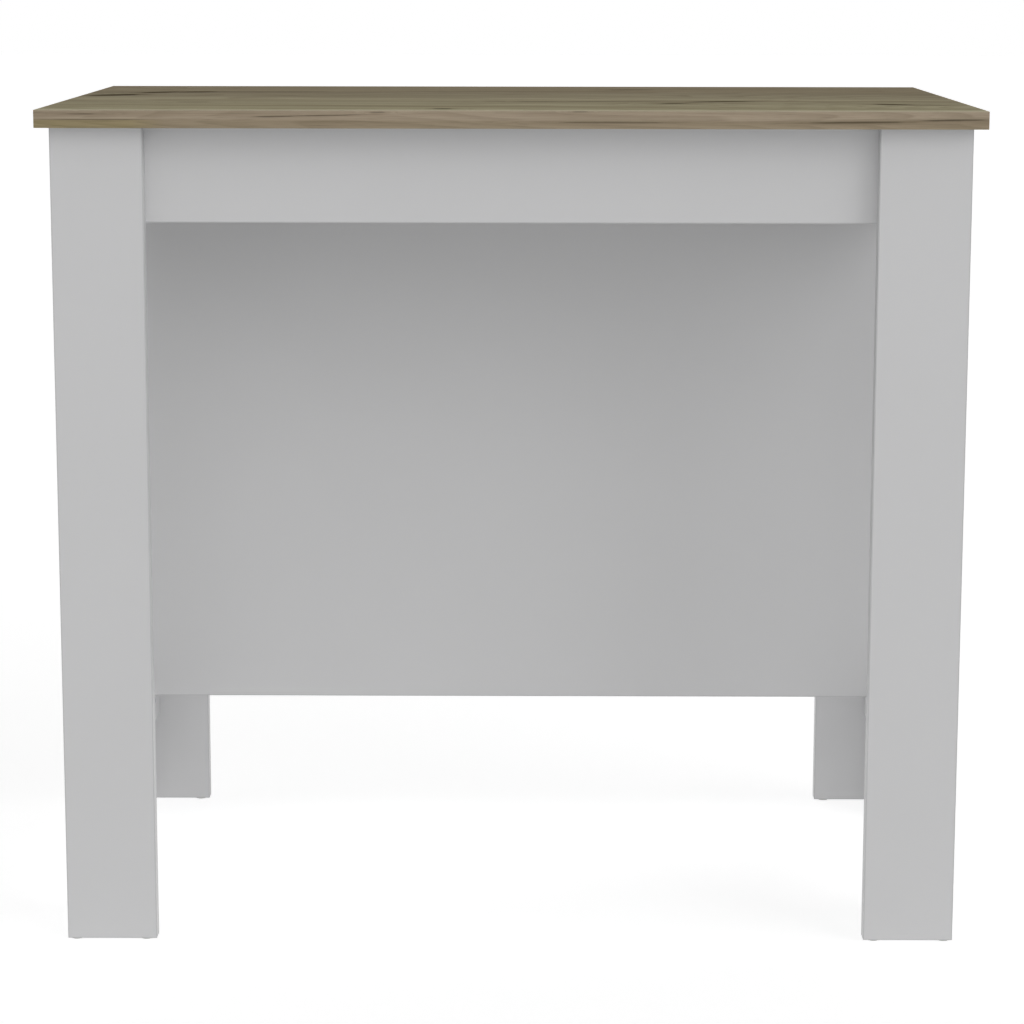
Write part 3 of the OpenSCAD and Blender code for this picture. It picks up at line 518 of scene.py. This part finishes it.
def board(node, colour, roughness):
    """White melamine on one board, with its edging band along every narrow face, darker partly as painted
    shade.
    """
    s = Shader("white_" + node)
    gap = gap_to_rim(s, node)
    band = s.remap(gap, BAND - BAND_BLUR, BAND + BAND_BLUR, 1.0, 0.0)
    before = s.remap(gap, BAND - JOINT_HALF, BAND)
    joint = s.times(before, s.remap(gap, BAND, BAND + JOINT_HALF, 1.0, 0.0))
    base = s.clouded(colour, s.noise(6.0, seed=2.0), dark=0.985, pale=1.012)
    # The band's darker tone is partly the edging's own and partly painted shade on the narrow faces.
    base = s.mix(band, base, tint(colour, EDGING_TONE_AND_SHADE))
    base = s.mix(s.times(joint, JOINT_COVER), base, tint(colour, JOINT_TINT))
    pearl = s.noise(900.0, roughness=0.6, seed=5.0)
    rough = s.grained(pearl, roughness, below=0.03, above=0.05)
    relief = s.minus(pearl, s.times(joint, JOINT_SINK))
    return s.finish(base, rough, s.bump(relief, 0.05 * MM, strength=0.5), BOARD_SPECULAR)


# Metal, plastic and beech

NICKEL = (0.49, 0.48, 0.46)
NICKEL_ROUGHNESS = 0.30
ZINC_PLATE = (0.66, 0.67, 0.69)
ZINC_CAST = (0.50, 0.50, 0.51)
POLE_STEEL = (0.34, 0.34, 0.35)
BEECH = (0.56, 0.40, 0.24)
GREY_PLASTIC = (0.62, 0.62, 0.60)
# Metals: colour, roughness, the grain's cycles per metre and its height
METALS = {
    "brushed_nickel": (NICKEL, NICKEL_ROUGHNESS, (20.0, 20.0, 1400.0), 0.012 * MM),
    "bright_zinc": (ZINC_PLATE, 0.34, 220.0, 0.010 * MM),
    "cast_zinc": (ZINC_CAST, 0.48, 700.0, 0.030 * MM),
    "pole_steel": (POLE_STEEL, 0.42, (300.0, 300.0, 900.0), 0.010 * MM),
}
# Cycles per metre of the slow clouds in every metal, and their seed
METAL_CLOUDS = 45.0
METAL_SEED = 4.0
# What a slot of the record is made of
SLOT_FINISHES = {
    "brushed_metal": "brushed_nickel",
    "plated_steel": "bright_zinc",
    "zinc_casting": "cast_zinc",
    "grey_plastic": "moulded_grey",
    "beech": "beech_dowel",
}


def metal(name, colour, roughness, grain, height):
    """Metal with a fine brushed or cast grain."""
    s = Shader(name)
    brush = s.noise(grain, detail=3.0, roughness=0.6)
    base = s.clouded(colour, s.noise(METAL_CLOUDS, seed=METAL_SEED), dark=0.90, pale=1.06)
    rough = s.grained(brush, roughness, below=0.06, above=0.08)
    return s.finish(base, rough, s.bump(brush, height, strength=0.6), metallic=1.0)


def spun_metal(name, colour, roughness, centre):
    """Metal turned about an axis along Y through centre, with the fine rings that the tool leaves."""
    s = Shader(name)
    x, y, z = s.split(s.vector("SUBTRACT", s.place, centre))
    radius = s.vector("LENGTH", s.join(x, 0.0, z))
    turned = s.join(radius, y, 0.0)
    rings = s.noise((2600.0, 500.0, 0.0), detail=3.0, roughness=0.7, place=turned)
    base = s.clouded(colour, s.noise(METAL_CLOUDS, seed=METAL_SEED), dark=0.92, pale=1.05)
    rough = s.grained(rings, roughness, below=0.07, above=0.08)
    return s.finish(base, rough, s.bump(rings, 0.02 * MM, strength=0.6), metallic=1.0)


def plastic(name, colour, roughness=0.5):
    """Moulded plastic with a fine spark-eroded grain."""
    s = Shader(name)
    grain = s.noise(1600.0, roughness=0.6)
    base = s.clouded(colour, s.noise(30.0, detail=1.0, seed=3.0), dark=0.96, pale=1.0)
    rough = s.grained(grain, roughness, below=0.05, above=0.06)
    return s.finish(base, rough, s.bump(grain, 0.03 * MM, strength=0.6))


def beech(name, colour, roughness=0.6):
    """Plain beech of the dowels."""
    s = Shader(name)
    fibre = s.noise(300.0, detail=3.0, roughness=0.6)
    base = s.clouded(colour, fibre, dark=0.82, pale=1.08)
    return s.finish(base, roughness, s.bump(fibre, 0.08 * MM, strength=0.5))


# Finishes of the CAD nodes

# Points nearer than this are one
WELD = 0.002 * MM
# Degrees: faces that turn by less are joined, and edges that turn by more are softened
FLAT_ANGLE = 0.5
BEVEL_ANGLE = 40.0
# Width and segments of the softened edges
EDGING_BEVEL = (0.9 * MM, 3)
BOARD_BEVEL = (0.6 * MM, 2)
DOOR_BEVEL = (1.2 * MM, 3)
BOARDS = (
    [f"leg_{part}_{row}_{side}" for part in ("face", "side") for row in ("near", "far") for side in SIDES]
    + [f"{level}_rail_{side}" for level in ("upper", "lower") for side in SIDES]
    + [f"{piece}_{side}" for piece in ("gable", "shelf") for side in SIDES]
    + ["near_apron", "far_apron", "knee_panel", "cabinet_floor", "centre_partition"]
)


def soften(node, width, segments):
    """Rounds a CAD node's edges with modifiers, leaving its mesh as it is."""
    obj = NODES[node]
    weld = obj.modifiers.new("weld", "WELD")
    weld.merge_threshold = WELD
    flat = obj.modifiers.new("flat", "DECIMATE")
    flat.decimate_type = "DISSOLVE"
    flat.angle_limit = math.radians(FLAT_ANGLE)
    bevel = obj.modifiers.new("bevel", "BEVEL")
    bevel.width = width
    bevel.segments = segments
    bevel.limit_method = "ANGLE"
    bevel.angle_limit = math.radians(BEVEL_ANGLE)
    bevel.harden_normals = True


def finish_worktop():
    """Oak on the worktop and on its edging, which alone has edges to soften."""
    top = OakTop("worktop_oak", OAK_TOP, seed=1.0)
    paint(NODES["worktop"], top.dress(TOP_KNOTS, specular=0.0))
    edge = OakEdge("worktop_edge_oak", OAK_EDGE, seed=5.0)
    paint(NODES["worktop_edging"], edge.dress(EDGE_KNOTS, specular=0.2))
    soften("worktop_edging", *EDGING_BEVEL)


def finish_boards():
    """White melamine on every other board, a little smoother on the doors."""
    for name in BOARDS:
        paint(NODES[name], board(name, WHITE_BOARD, BOARD_ROUGHNESS))
        soften(name, *BOARD_BEVEL)
    for side in SIDES:
        name = "door_" + side
        paint(NODES[name], board(name, WHITE_FRONT, FRONT_ROUGHNESS))
        soften(name, *DOOR_BEVEL)


def finish_fittings():
    """Gives each fitting the finish of its slot, and the catches' pole plates a darker steel."""
    finishes = {name: metal(name, *values) for name, values in METALS.items()}
    finishes["moulded_grey"] = plastic("moulded_grey", GREY_PLASTIC)
    finishes["beech_dowel"] = beech("beech_dowel", BEECH)
    for part in frame["record"]["subparts"]:
        if part["material_slot"] in SLOT_FINISHES:
            paint(NODES[part["node"]], finishes[SLOT_FINISHES[part["material_slot"]]])
    paint(NODES["catch_poles"], finishes["pole_steel"])


# Outlines of turned solids

# Points within this depth of each other are at one depth, radii with less than the step between
# them are one radius, and metres keep so many decimals
SAME_DEPTH = 0.01 * MM
LEAST_STEP = 0.05 * MM
DECIMALS = 5
# An outline's point stays if it bends the outline by more than this area
LEAST_BEND = (0.08 * MM) ** 2


def grow(first, seen):
    """The points of the solid that holds the vertex first, which all join seen."""
    seen.add(first)
    stack, solid = [first], []
    while stack:
        vert = stack.pop()
        solid.append(vert.co.copy())
        for edge in vert.link_edges:
            other = edge.other_vert(vert)
            if other not in seen:
                seen.add(other)
                stack.append(other)
    return solid


def loose_solids(node):
    """The points of each separate solid in a CAD node."""
    mesh = bmesh.new()
    mesh.from_mesh(NODES[node].data)
    bmesh.ops.remove_doubles(mesh, verts=mesh.verts, dist=WELD)
    seen = set()
    solids = [grow(vert, seen) for vert in mesh.verts if vert not in seen]
    mesh.free()
    return solids


def drop_middles(outline):
    """The outline without the points that lie on the line between their neighbours."""
    kept = outline[:1]
    for here, after in zip(outline[1:], outline[2:]):
        before = kept[-1]
        bend = (here[0] - before[0]) * (after[1] - here[1]) - (here[1] - before[1]) * (after[0] - here[0])
        if abs(bend) > LEAST_BEND:
            kept.append(here)
    return kept + outline[-1:]


def trace(found, head):
    """The outline through the found (depth, radius) pairs, from a head of the given radius."""
    outline = [(0.0, head)]
    for depth in sorted({round(d, DECIMALS) for d, r in found} - {0.0}):
        here = {round(r, DECIMALS) for d, r in found if abs(d - depth) < SAME_DEPTH}
        radii = sorted(here, reverse=True)
        radii = [r for i, r in enumerate(radii) if i == 0 or radii[i - 1] - r > LEAST_STEP]
        if len(radii) > 1 and outline[-1][1] < radii[-1] + LEAST_STEP:
            radii.reverse()
        outline += [(depth, r) for r in radii]
    return drop_middles(outline)


def turned_outline(solid):
    """A turned solid's head centre, the way to its tip, and its outline as (depth, radius) pairs."""
    low = Vector([min(p[i] for p in solid) for i in range(3)])
    high = Vector([max(p[i] for p in solid) for i in range(3)])
    middle = (low + high) / 2
    long = max(range(3), key=lambda i: high[i] - low[i])
    length = (high - low)[long]
    way = Vector([float(i == long) for i in range(3)])
    origin = middle - way * length / 2
    found = [((p - low)[long], (p - middle - way * (p - middle)[long]).length) for p in solid]
    ends = [max(r for d, r in found if abs(d - end) < WELD) for end in (0.0, length)]
    if ends[1] > ends[0]:
        found = [(length - d, r) for d, r in found]
        origin, way = middle + way * length / 2, -way
    return origin, way, trace(found, max(ends))


class Lathe:
    """Collects turned solids in one mesh.

    mouth is (angle, radius) pairs, and every ring has its points at those angles. Only a mouth ring
    follows their radii too.
    """

    smooth_angle = 35.0

    def __init__(self, mouth):
        self.mouth = mouth
        self.mesh = bmesh.new()

    def aim(self, origin, way, turn):
        """Sets the axis of what follows. Depths run from origin along way."""
        side = Vector((0, 0, 1)) if abs(way.z) < 0.5 else Vector((1, 0, 0))
        up = way.cross(side)
        self.origin, self.way = origin, way
        self.side = side * math.cos(turn) + up * math.sin(turn)
        self.up = way.cross(self.side)

    def point(self, depth, radius, angle):
        """A new vertex."""
        out = self.side * math.cos(angle) + self.up * math.sin(angle)
        return self.mesh.verts.new(self.origin + self.way * depth + out * radius)

    def ring(self, depth, radius):
        """A round ring."""
        return [self.point(depth, radius, angle) for angle, mouth in self.mouth]

    def mouth_ring(self, depth, scale):
        """A ring in the shape of the mouth."""
        return [self.point(depth, scale * mouth, angle) for angle, mouth in self.mouth]

    def join(self, a, b):
        """Faces between two rings."""
        for i in range(len(a)):
            j = (i + 1) % len(a)
            self.mesh.faces.new((a[i], a[j], b[j], b[i]))

    def close(self, ring, depth):
        """Faces from a ring to a point on the axis."""
        centre = self.point(depth, 0.0, 0.0)
        for i in range(len(ring)):
            self.mesh.faces.new((ring[i], ring[(i + 1) % len(ring)], centre))

    def thread(self, start, end, crest, root, pitch):
        """A helix between two plain rings. A point beyond either falls on it, and they merge later."""
        # Two rows to a turn, from one turn before the start to more than one past the end
        rows = []
        for row in range(2 * int((end - start) / pitch) + 7):
            points = []
            for angle, mouth in self.mouth:
                depth = start + pitch * (row / 2 - 1 + angle / (2 * math.pi))
                free = row % 2 and start < depth < end
                points.append(self.point(min(max(depth, start), end), crest if free else root, angle))
            rows.append(points)
        for row in range(len(rows) - 3):
            above = rows[row] + rows[row + 2][:1]
            below = rows[row + 1] + rows[row + 3][:1]
            for i in range(len(self.mouth)):
                self.mesh.faces.new((above[i], above[i + 1], below[i + 1], below[i]))

    def finish(self, name):
        """The piece, merged where its points meet and smooth except at its edges."""
        bmesh.ops.remove_doubles(self.mesh, verts=self.mesh.verts, dist=WELD)
        bmesh.ops.recalc_face_normals(self.mesh, faces=self.mesh.faces)
        data = bpy.data.meshes.new(name)
        self.mesh.to_mesh(data)
        self.mesh.free()
        data.shade_smooth()
        data.set_sharp_from_angle(angle=math.radians(self.smooth_angle))
        return add_object(name, data)


# Screws with their recess and thread, in place of the plain solids

# Sizes of a recess, of the head's radius, and its floor against its mouth
CROSS_REACH = 0.56
CROSS_HALF = 0.15
HEX_FLAT = 0.42
HEX_STEPS = 24
RECESS_DEPTH = 0.45
RECESS_TAPER = 0.55
# The thread's root against its crest, and its pitch against its diameter
THREAD_ROOT = 0.74
WOOD_PITCH = 0.43
MACHINE_PITCH = 0.175
# How many points of an outline belong to the head, and steps of a pan head's rounded edge
HEAD_POINTS = 3
HEAD_ARC = 4
# Turns each screw's recess its own way, in radians
GOLDEN_TURN = 2.39996
CROSS_NODES = (
    "hinge_frame_screws",
    "hinge_door_screws_left",
    "hinge_door_screws_right",
    "catch_screws",
    "strike_screw_left",
    "strike_screw_right",
    "knob_screw_left",
    "knob_screw_right",
    "bracket_screws",
    "rail_screws",
)
HEX_NODES = ("confirmat_screws",)


def cross_mouth():
    """(angle, radius) round a cross recess, for a head of radius 1."""
    corner = math.atan2(CROSS_HALF, CROSS_REACH)
    between = (corner + math.pi / 4) / 2
    quarter = (0.0, corner, between, math.pi / 4, math.pi / 2 - between, math.pi / 2 - corner)
    mouth = []
    for turn in range(4):
        for angle in quarter:
            off = min(angle, math.pi / 2 - angle)
            side = CROSS_HALF / math.sin(off) if off > 0 else CROSS_REACH
            mouth.append((turn * math.pi / 2 + angle, min(CROSS_REACH / math.cos(off), side)))
    return mouth


def hex_mouth():
    """(angle, radius) round a hexagon socket, for a head of radius 1."""
    sixth = math.pi / 3
    mouth = []
    for step in range(HEX_STEPS):
        angle = 2 * math.pi * step / HEX_STEPS
        mouth.append((angle, HEX_FLAT / math.cos((angle + sixth / 2) % sixth - sixth / 2)))
    return mouth


def rounded_head(outline):
    """A pan head's chamfer as an arc. Other outlines stay as they are."""
    (top, face), (below, rim) = outline[:2]
    if rim <= face:
        return outline
    bulge = rim - face
    edge = []
    for step in range(HEAD_ARC + 1):
        angle = math.pi / 2 * step / HEAD_ARC
        edge.append((below - (below - top) * math.cos(angle), face + bulge * math.sin(angle)))
    return edge + outline[2:]


def find_shank(outline):
    """Where in the outline its longest stretch of one radius starts."""

    def length(i):
        (start, radius), (end, after) = outline[i:i + 2]
        return end - start if radius == after else 0.0

    return max(range(len(outline) - 1), key=length)


def cut_screw(lathe, outline, pitch):
    """One screw: recess, head, threaded shank and point."""
    head = max(radius for depth, radius in outline[:HEAD_POINTS])
    mouth = lathe.mouth_ring(0.0, head)
    floor = lathe.mouth_ring(RECESS_DEPTH * head, head * RECESS_TAPER)
    lathe.close(floor, RECESS_DEPTH * head)
    lathe.join(floor, mouth)
    shank = find_shank(outline)
    last = mouth
    for depth, radius in rounded_head(outline[:shank + 1]):
        ring = lathe.ring(depth, radius)
        lathe.join(last, ring)
        last = ring
    (start, crest), (end, crest) = outline[shank:shank + 2]
    root = crest * THREAD_ROOT
    lathe.join(last, lathe.ring(start, root))
    lathe.thread(start, end, crest, root, pitch * 2 * crest)
    lathe.close(lathe.ring(end, root), outline[-1][0])


def make_screws(nodes, mouth):
    """Replaces the screws of each node, all with a recess of one kind."""
    bodies = {n: body for body, names in frame["record"]["behaviour"]["bodies"].items() for n in names}
    for node in nodes:
        pitch = MACHINE_PITCH if node.startswith("knob") else WOOD_PITCH
        lathe = Lathe(mouth)
        for count, solid in enumerate(loose_solids(node)):
            origin, way, outline = turned_outline(solid)
            lathe.aim(origin, way, count * GOLDEN_TURN)
            cut_screw(lathe, outline, pitch)
        piece = lathe.finish("recessed_" + node)
        paint(piece, bpy.data.materials["bright_zinc"])
        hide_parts(node)
        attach(piece, bodies[node])


# Turned knobs, in place of the plainer solids. Lengths in millimetres, angles in degrees

KNOB_ANGLES = 64
# The rounded rim, the dome of the face and the raised disc on it
KNOB_RIM = 3.3
KNOB_DOME = 2.2
KNOB_DISC = 11.7
# Radii where the plain middle of the face has a ring
KNOB_STOPS = (1.5, 3.0, 4.5, 6.0, 7.2)
# Radii of the two grooves, and the half width and depth of each
KNOB_GROOVES = (8.9, 10.1)
KNOB_GROOVE = (0.45, 0.30)
# The disc's edge, as how far in from KNOB_DISC and how far below the dome
KNOB_DISC_EDGE = ((0.35, 0.0), (0.1, 0.12), (0.0, 0.4))
# The foot's radius and height, the neck's radius, and the radius and depth of the screw's bore
KNOB_FOOT = (8.4, 2.5)
KNOB_NECK = 6.0
KNOB_BORE = (2.1, 11.0)
# First and last angle of three arcs
RIM_ARC = (86, -90)
NECK_ARC = (120, 240)
FOOT_ARC = (90, -60)
ARC_STEPS = 8


def arc(centre, radius, ends, steps=ARC_STEPS):
    """(height, radius) pairs round a centre, from one angle to another, with 0 outwards."""
    start, end = ends
    pairs = []
    for step in range(steps + 1):
        angle = math.radians(start + (end - start) * step / steps)
        pairs.append((centre[0] + radius * math.sin(angle), centre[1] + radius * math.cos(angle)))
    return pairs


def knob_face(out, half):
    """The domed face with its grooves, from near the middle to the raised disc's edge."""
    dome = (KNOB_DOME + half ** 2 / KNOB_DOME) / 2
    wide, deep = KNOB_GROOVE
    stops = [(r, 0.0) for r in KNOB_STOPS]
    for groove in KNOB_GROOVES:
        for off, sink in ((-wide, 0.0), (-wide / 3, deep), (wide / 3, deep), (wide, 0.0)):
            stops.append((groove + off, sink))
    stops += [(KNOB_DISC - inset, sink) for inset, sink in KNOB_DISC_EDGE]
    return [(out - dome + math.sqrt(dome ** 2 - r ** 2) - sink, r) for r, sink in stops]


def knob_outline(out, half):
    """(height above the door, radius) from the knob's face round to the bore in its foot."""
    foot, foot_h = KNOB_FOOT
    bore, bore_h = KNOB_BORE
    rim_h = out - KNOB_DOME - KNOB_RIM
    waist = (rim_h - KNOB_RIM - foot_h) / 2
    outline = knob_face(out, half)
    outline += arc((rim_h, half - KNOB_RIM), KNOB_RIM, RIM_ARC, 2 * ARC_STEPS)
    outline += arc((foot_h + waist, KNOB_NECK + waist), waist, NECK_ARC)
    outline += arc((foot_h / 2, foot - foot_h / 2), foot_h / 2, FOOT_ARC)
    return outline + [(0.0, foot - foot_h / 3), (0.0, bore), (bore_h, bore)]


def turn_knob(name, low, high):
    """A knob on the door's front, as wide and as deep as the box from low to high."""
    middle = (low + high) / 2
    out, half = (high.y - low.y) / MM, (high.x - low.x) / 2 / MM
    lathe = Lathe([(2 * math.pi * i / KNOB_ANGLES, 1.0) for i in range(KNOB_ANGLES)])
    lathe.aim(Vector((middle.x, low.y, middle.z)), Vector((0, 1, 0)), 0.0)
    rings = [lathe.ring(height * MM, radius * MM) for height, radius in knob_outline(out, half)]
    for ring, after in zip(rings, rings[1:]):
        lathe.join(ring, after)
    lathe.close(rings[0], out * MM)
    lathe.close(rings[-1], KNOB_BORE[1] * MM)
    return lathe.finish(name)


def make_knobs():
    """Replaces both knobs by finely turned ones of the same size."""
    for side in SIDES:
        node = "knob_" + side
        low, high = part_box(node)
        piece = turn_knob("turned_" + node, low, high)
        paint(piece, spun_metal("spun_nickel_" + side, NICKEL, NICKEL_ROUGHNESS, (low + high) / 2))
        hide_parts(node)
        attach(piece, side + "_door")


# Stage, light and camera

# Name, azimuth from the seating side and elevation in degrees, and strength
SUNS = [
    ("front", 5, 26, 0.35),
    ("front_left", -50, 52, 0.37),
    ("front_right", 60, 28, 1.02),
    ("left", -92, 3, 0.63),
    ("back", 180, 20, 0.55),
    ("back_left", -135, 20, 0.42),
    ("back_right", 135, 20, 0.42),
]
SUN_SOFTNESS = 50
# The world's strength as light on the object. The camera sees it white
AMBIENT = 0.05
# On the object, the floor gives off FLOOR_LIGHT besides what it reflects. The camera sees a glow,
# mixed with the share FLOOR_SHADOW of a floor that takes shadows
FLOOR_COLOUR = (0.88, 0.88, 0.88)
FLOOR_REACH = 30.0
FLOOR_LIGHT = 0.375
FLOOR_GLOW = 2.32
FLOOR_SHADOW = 0.7
# The camera's shift is as large as the other views allow. Its turn is in degrees
LENS = 98.5
SENSOR = 36.0
SHIFT = -0.10
CLIP_END = 100.0
CAMERA_PLACE = (0.012, -3.230, 1.064)
CAMERA_TURN = (90 - 9.05, -0.09, 0.22)


def floor_material():
    """Pale from above, where it keeps the object's shadow, and clear from below."""
    s = Shader("floor")

    def blend(factor, a, b):
        return s.node("ShaderNodeMixShader", {0: factor, 1: a, 2: b}).outputs[0]

    def shine(strength):
        return s.node("ShaderNodeEmission", {"Color": rgba(WHITE), "Strength": strength}).outputs[0]

    diffuse = s.node("ShaderNodeBsdfDiffuse", {"Color": rgba(FLOOR_COLOUR)}).outputs[0]
    seen = blend(FLOOR_SHADOW, shine(FLOOR_GLOW), diffuse)
    bounce = s.node("ShaderNodeAddShader", {0: diffuse, 1: shine(FLOOR_LIGHT)}).outputs[0]
    below = s.node("ShaderNodeNewGeometry").outputs["Backfacing"]
    clear = s.node("ShaderNodeBsdfTransparent").outputs[0]
    surface = blend(below, blend(s.looked_at(), bounce, seen), clear)
    s.node("ShaderNodeOutputMaterial", {"Surface": surface})
    return s.material


def make_floor():
    """A plain square floor, far larger than any view of it."""
    corners = [(x * FLOOR_REACH, y * FLOOR_REACH, 0) for x, y in ((-1, -1), (1, -1), (1, 1), (-1, 1))]
    mesh = bpy.data.meshes.new("floor")
    mesh.from_pydata(corners, [], [(0, 1, 2, 3)])
    floor = add_object("floor", mesh)
    paint(floor, floor_material())


def make_world():
    """White where the camera looks, and only a faint light on the object."""
    world = bpy.data.worlds.new("studio")
    bpy.context.scene.world = world
    world.use_nodes = True
    s = Nodes(world.node_tree)
    strength = s.remap(s.looked_at(), 0.0, 1.0, AMBIENT, 1.0)
    back = s.node("ShaderNodeBackground", {"Color": rgba(WHITE), "Strength": strength})
    s.node("ShaderNodeOutputWorld", {"Surface": back.outputs[0]})


def make_suns():
    """The soft lamps, each turned to shine from its azimuth and elevation."""
    for name, azimuth, elevation, strength in SUNS:
        lamp = bpy.data.lights.new(name, "SUN")
        lamp.energy = strength
        lamp.angle = math.radians(SUN_SOFTNESS)
        sun = add_object(name, lamp)
        az, el = math.radians(azimuth), math.radians(elevation)
        source = Vector((math.sin(az) * math.cos(el), -math.cos(az) * math.cos(el), math.sin(el)))
        sun.rotation_euler = source.to_track_quat("Z", "Y").to_euler()


def make_camera():
    """The photograph's view, with upright lines as nearly parallel as the small shift allows."""
    data = bpy.data.cameras.new("camera")
    data.sensor_width = SENSOR
    data.lens = LENS
    data.shift_y = SHIFT
    data.clip_end = CLIP_END
    camera = add_object("camera", data)
    camera.location = CAMERA_PLACE
    camera.rotation_euler = [math.radians(angle) for angle in CAMERA_TURN]
    bpy.context.scene.camera = camera


bpy.context.scene.view_settings.view_transform = "Standard"
make_camera()
make_world()
make_suns()
make_floor()
finish_worktop()
finish_boards()
finish_fittings()
make_screws(CROSS_NODES, cross_mouth())
make_screws(HEX_NODES, hex_mouth())
make_knobs()
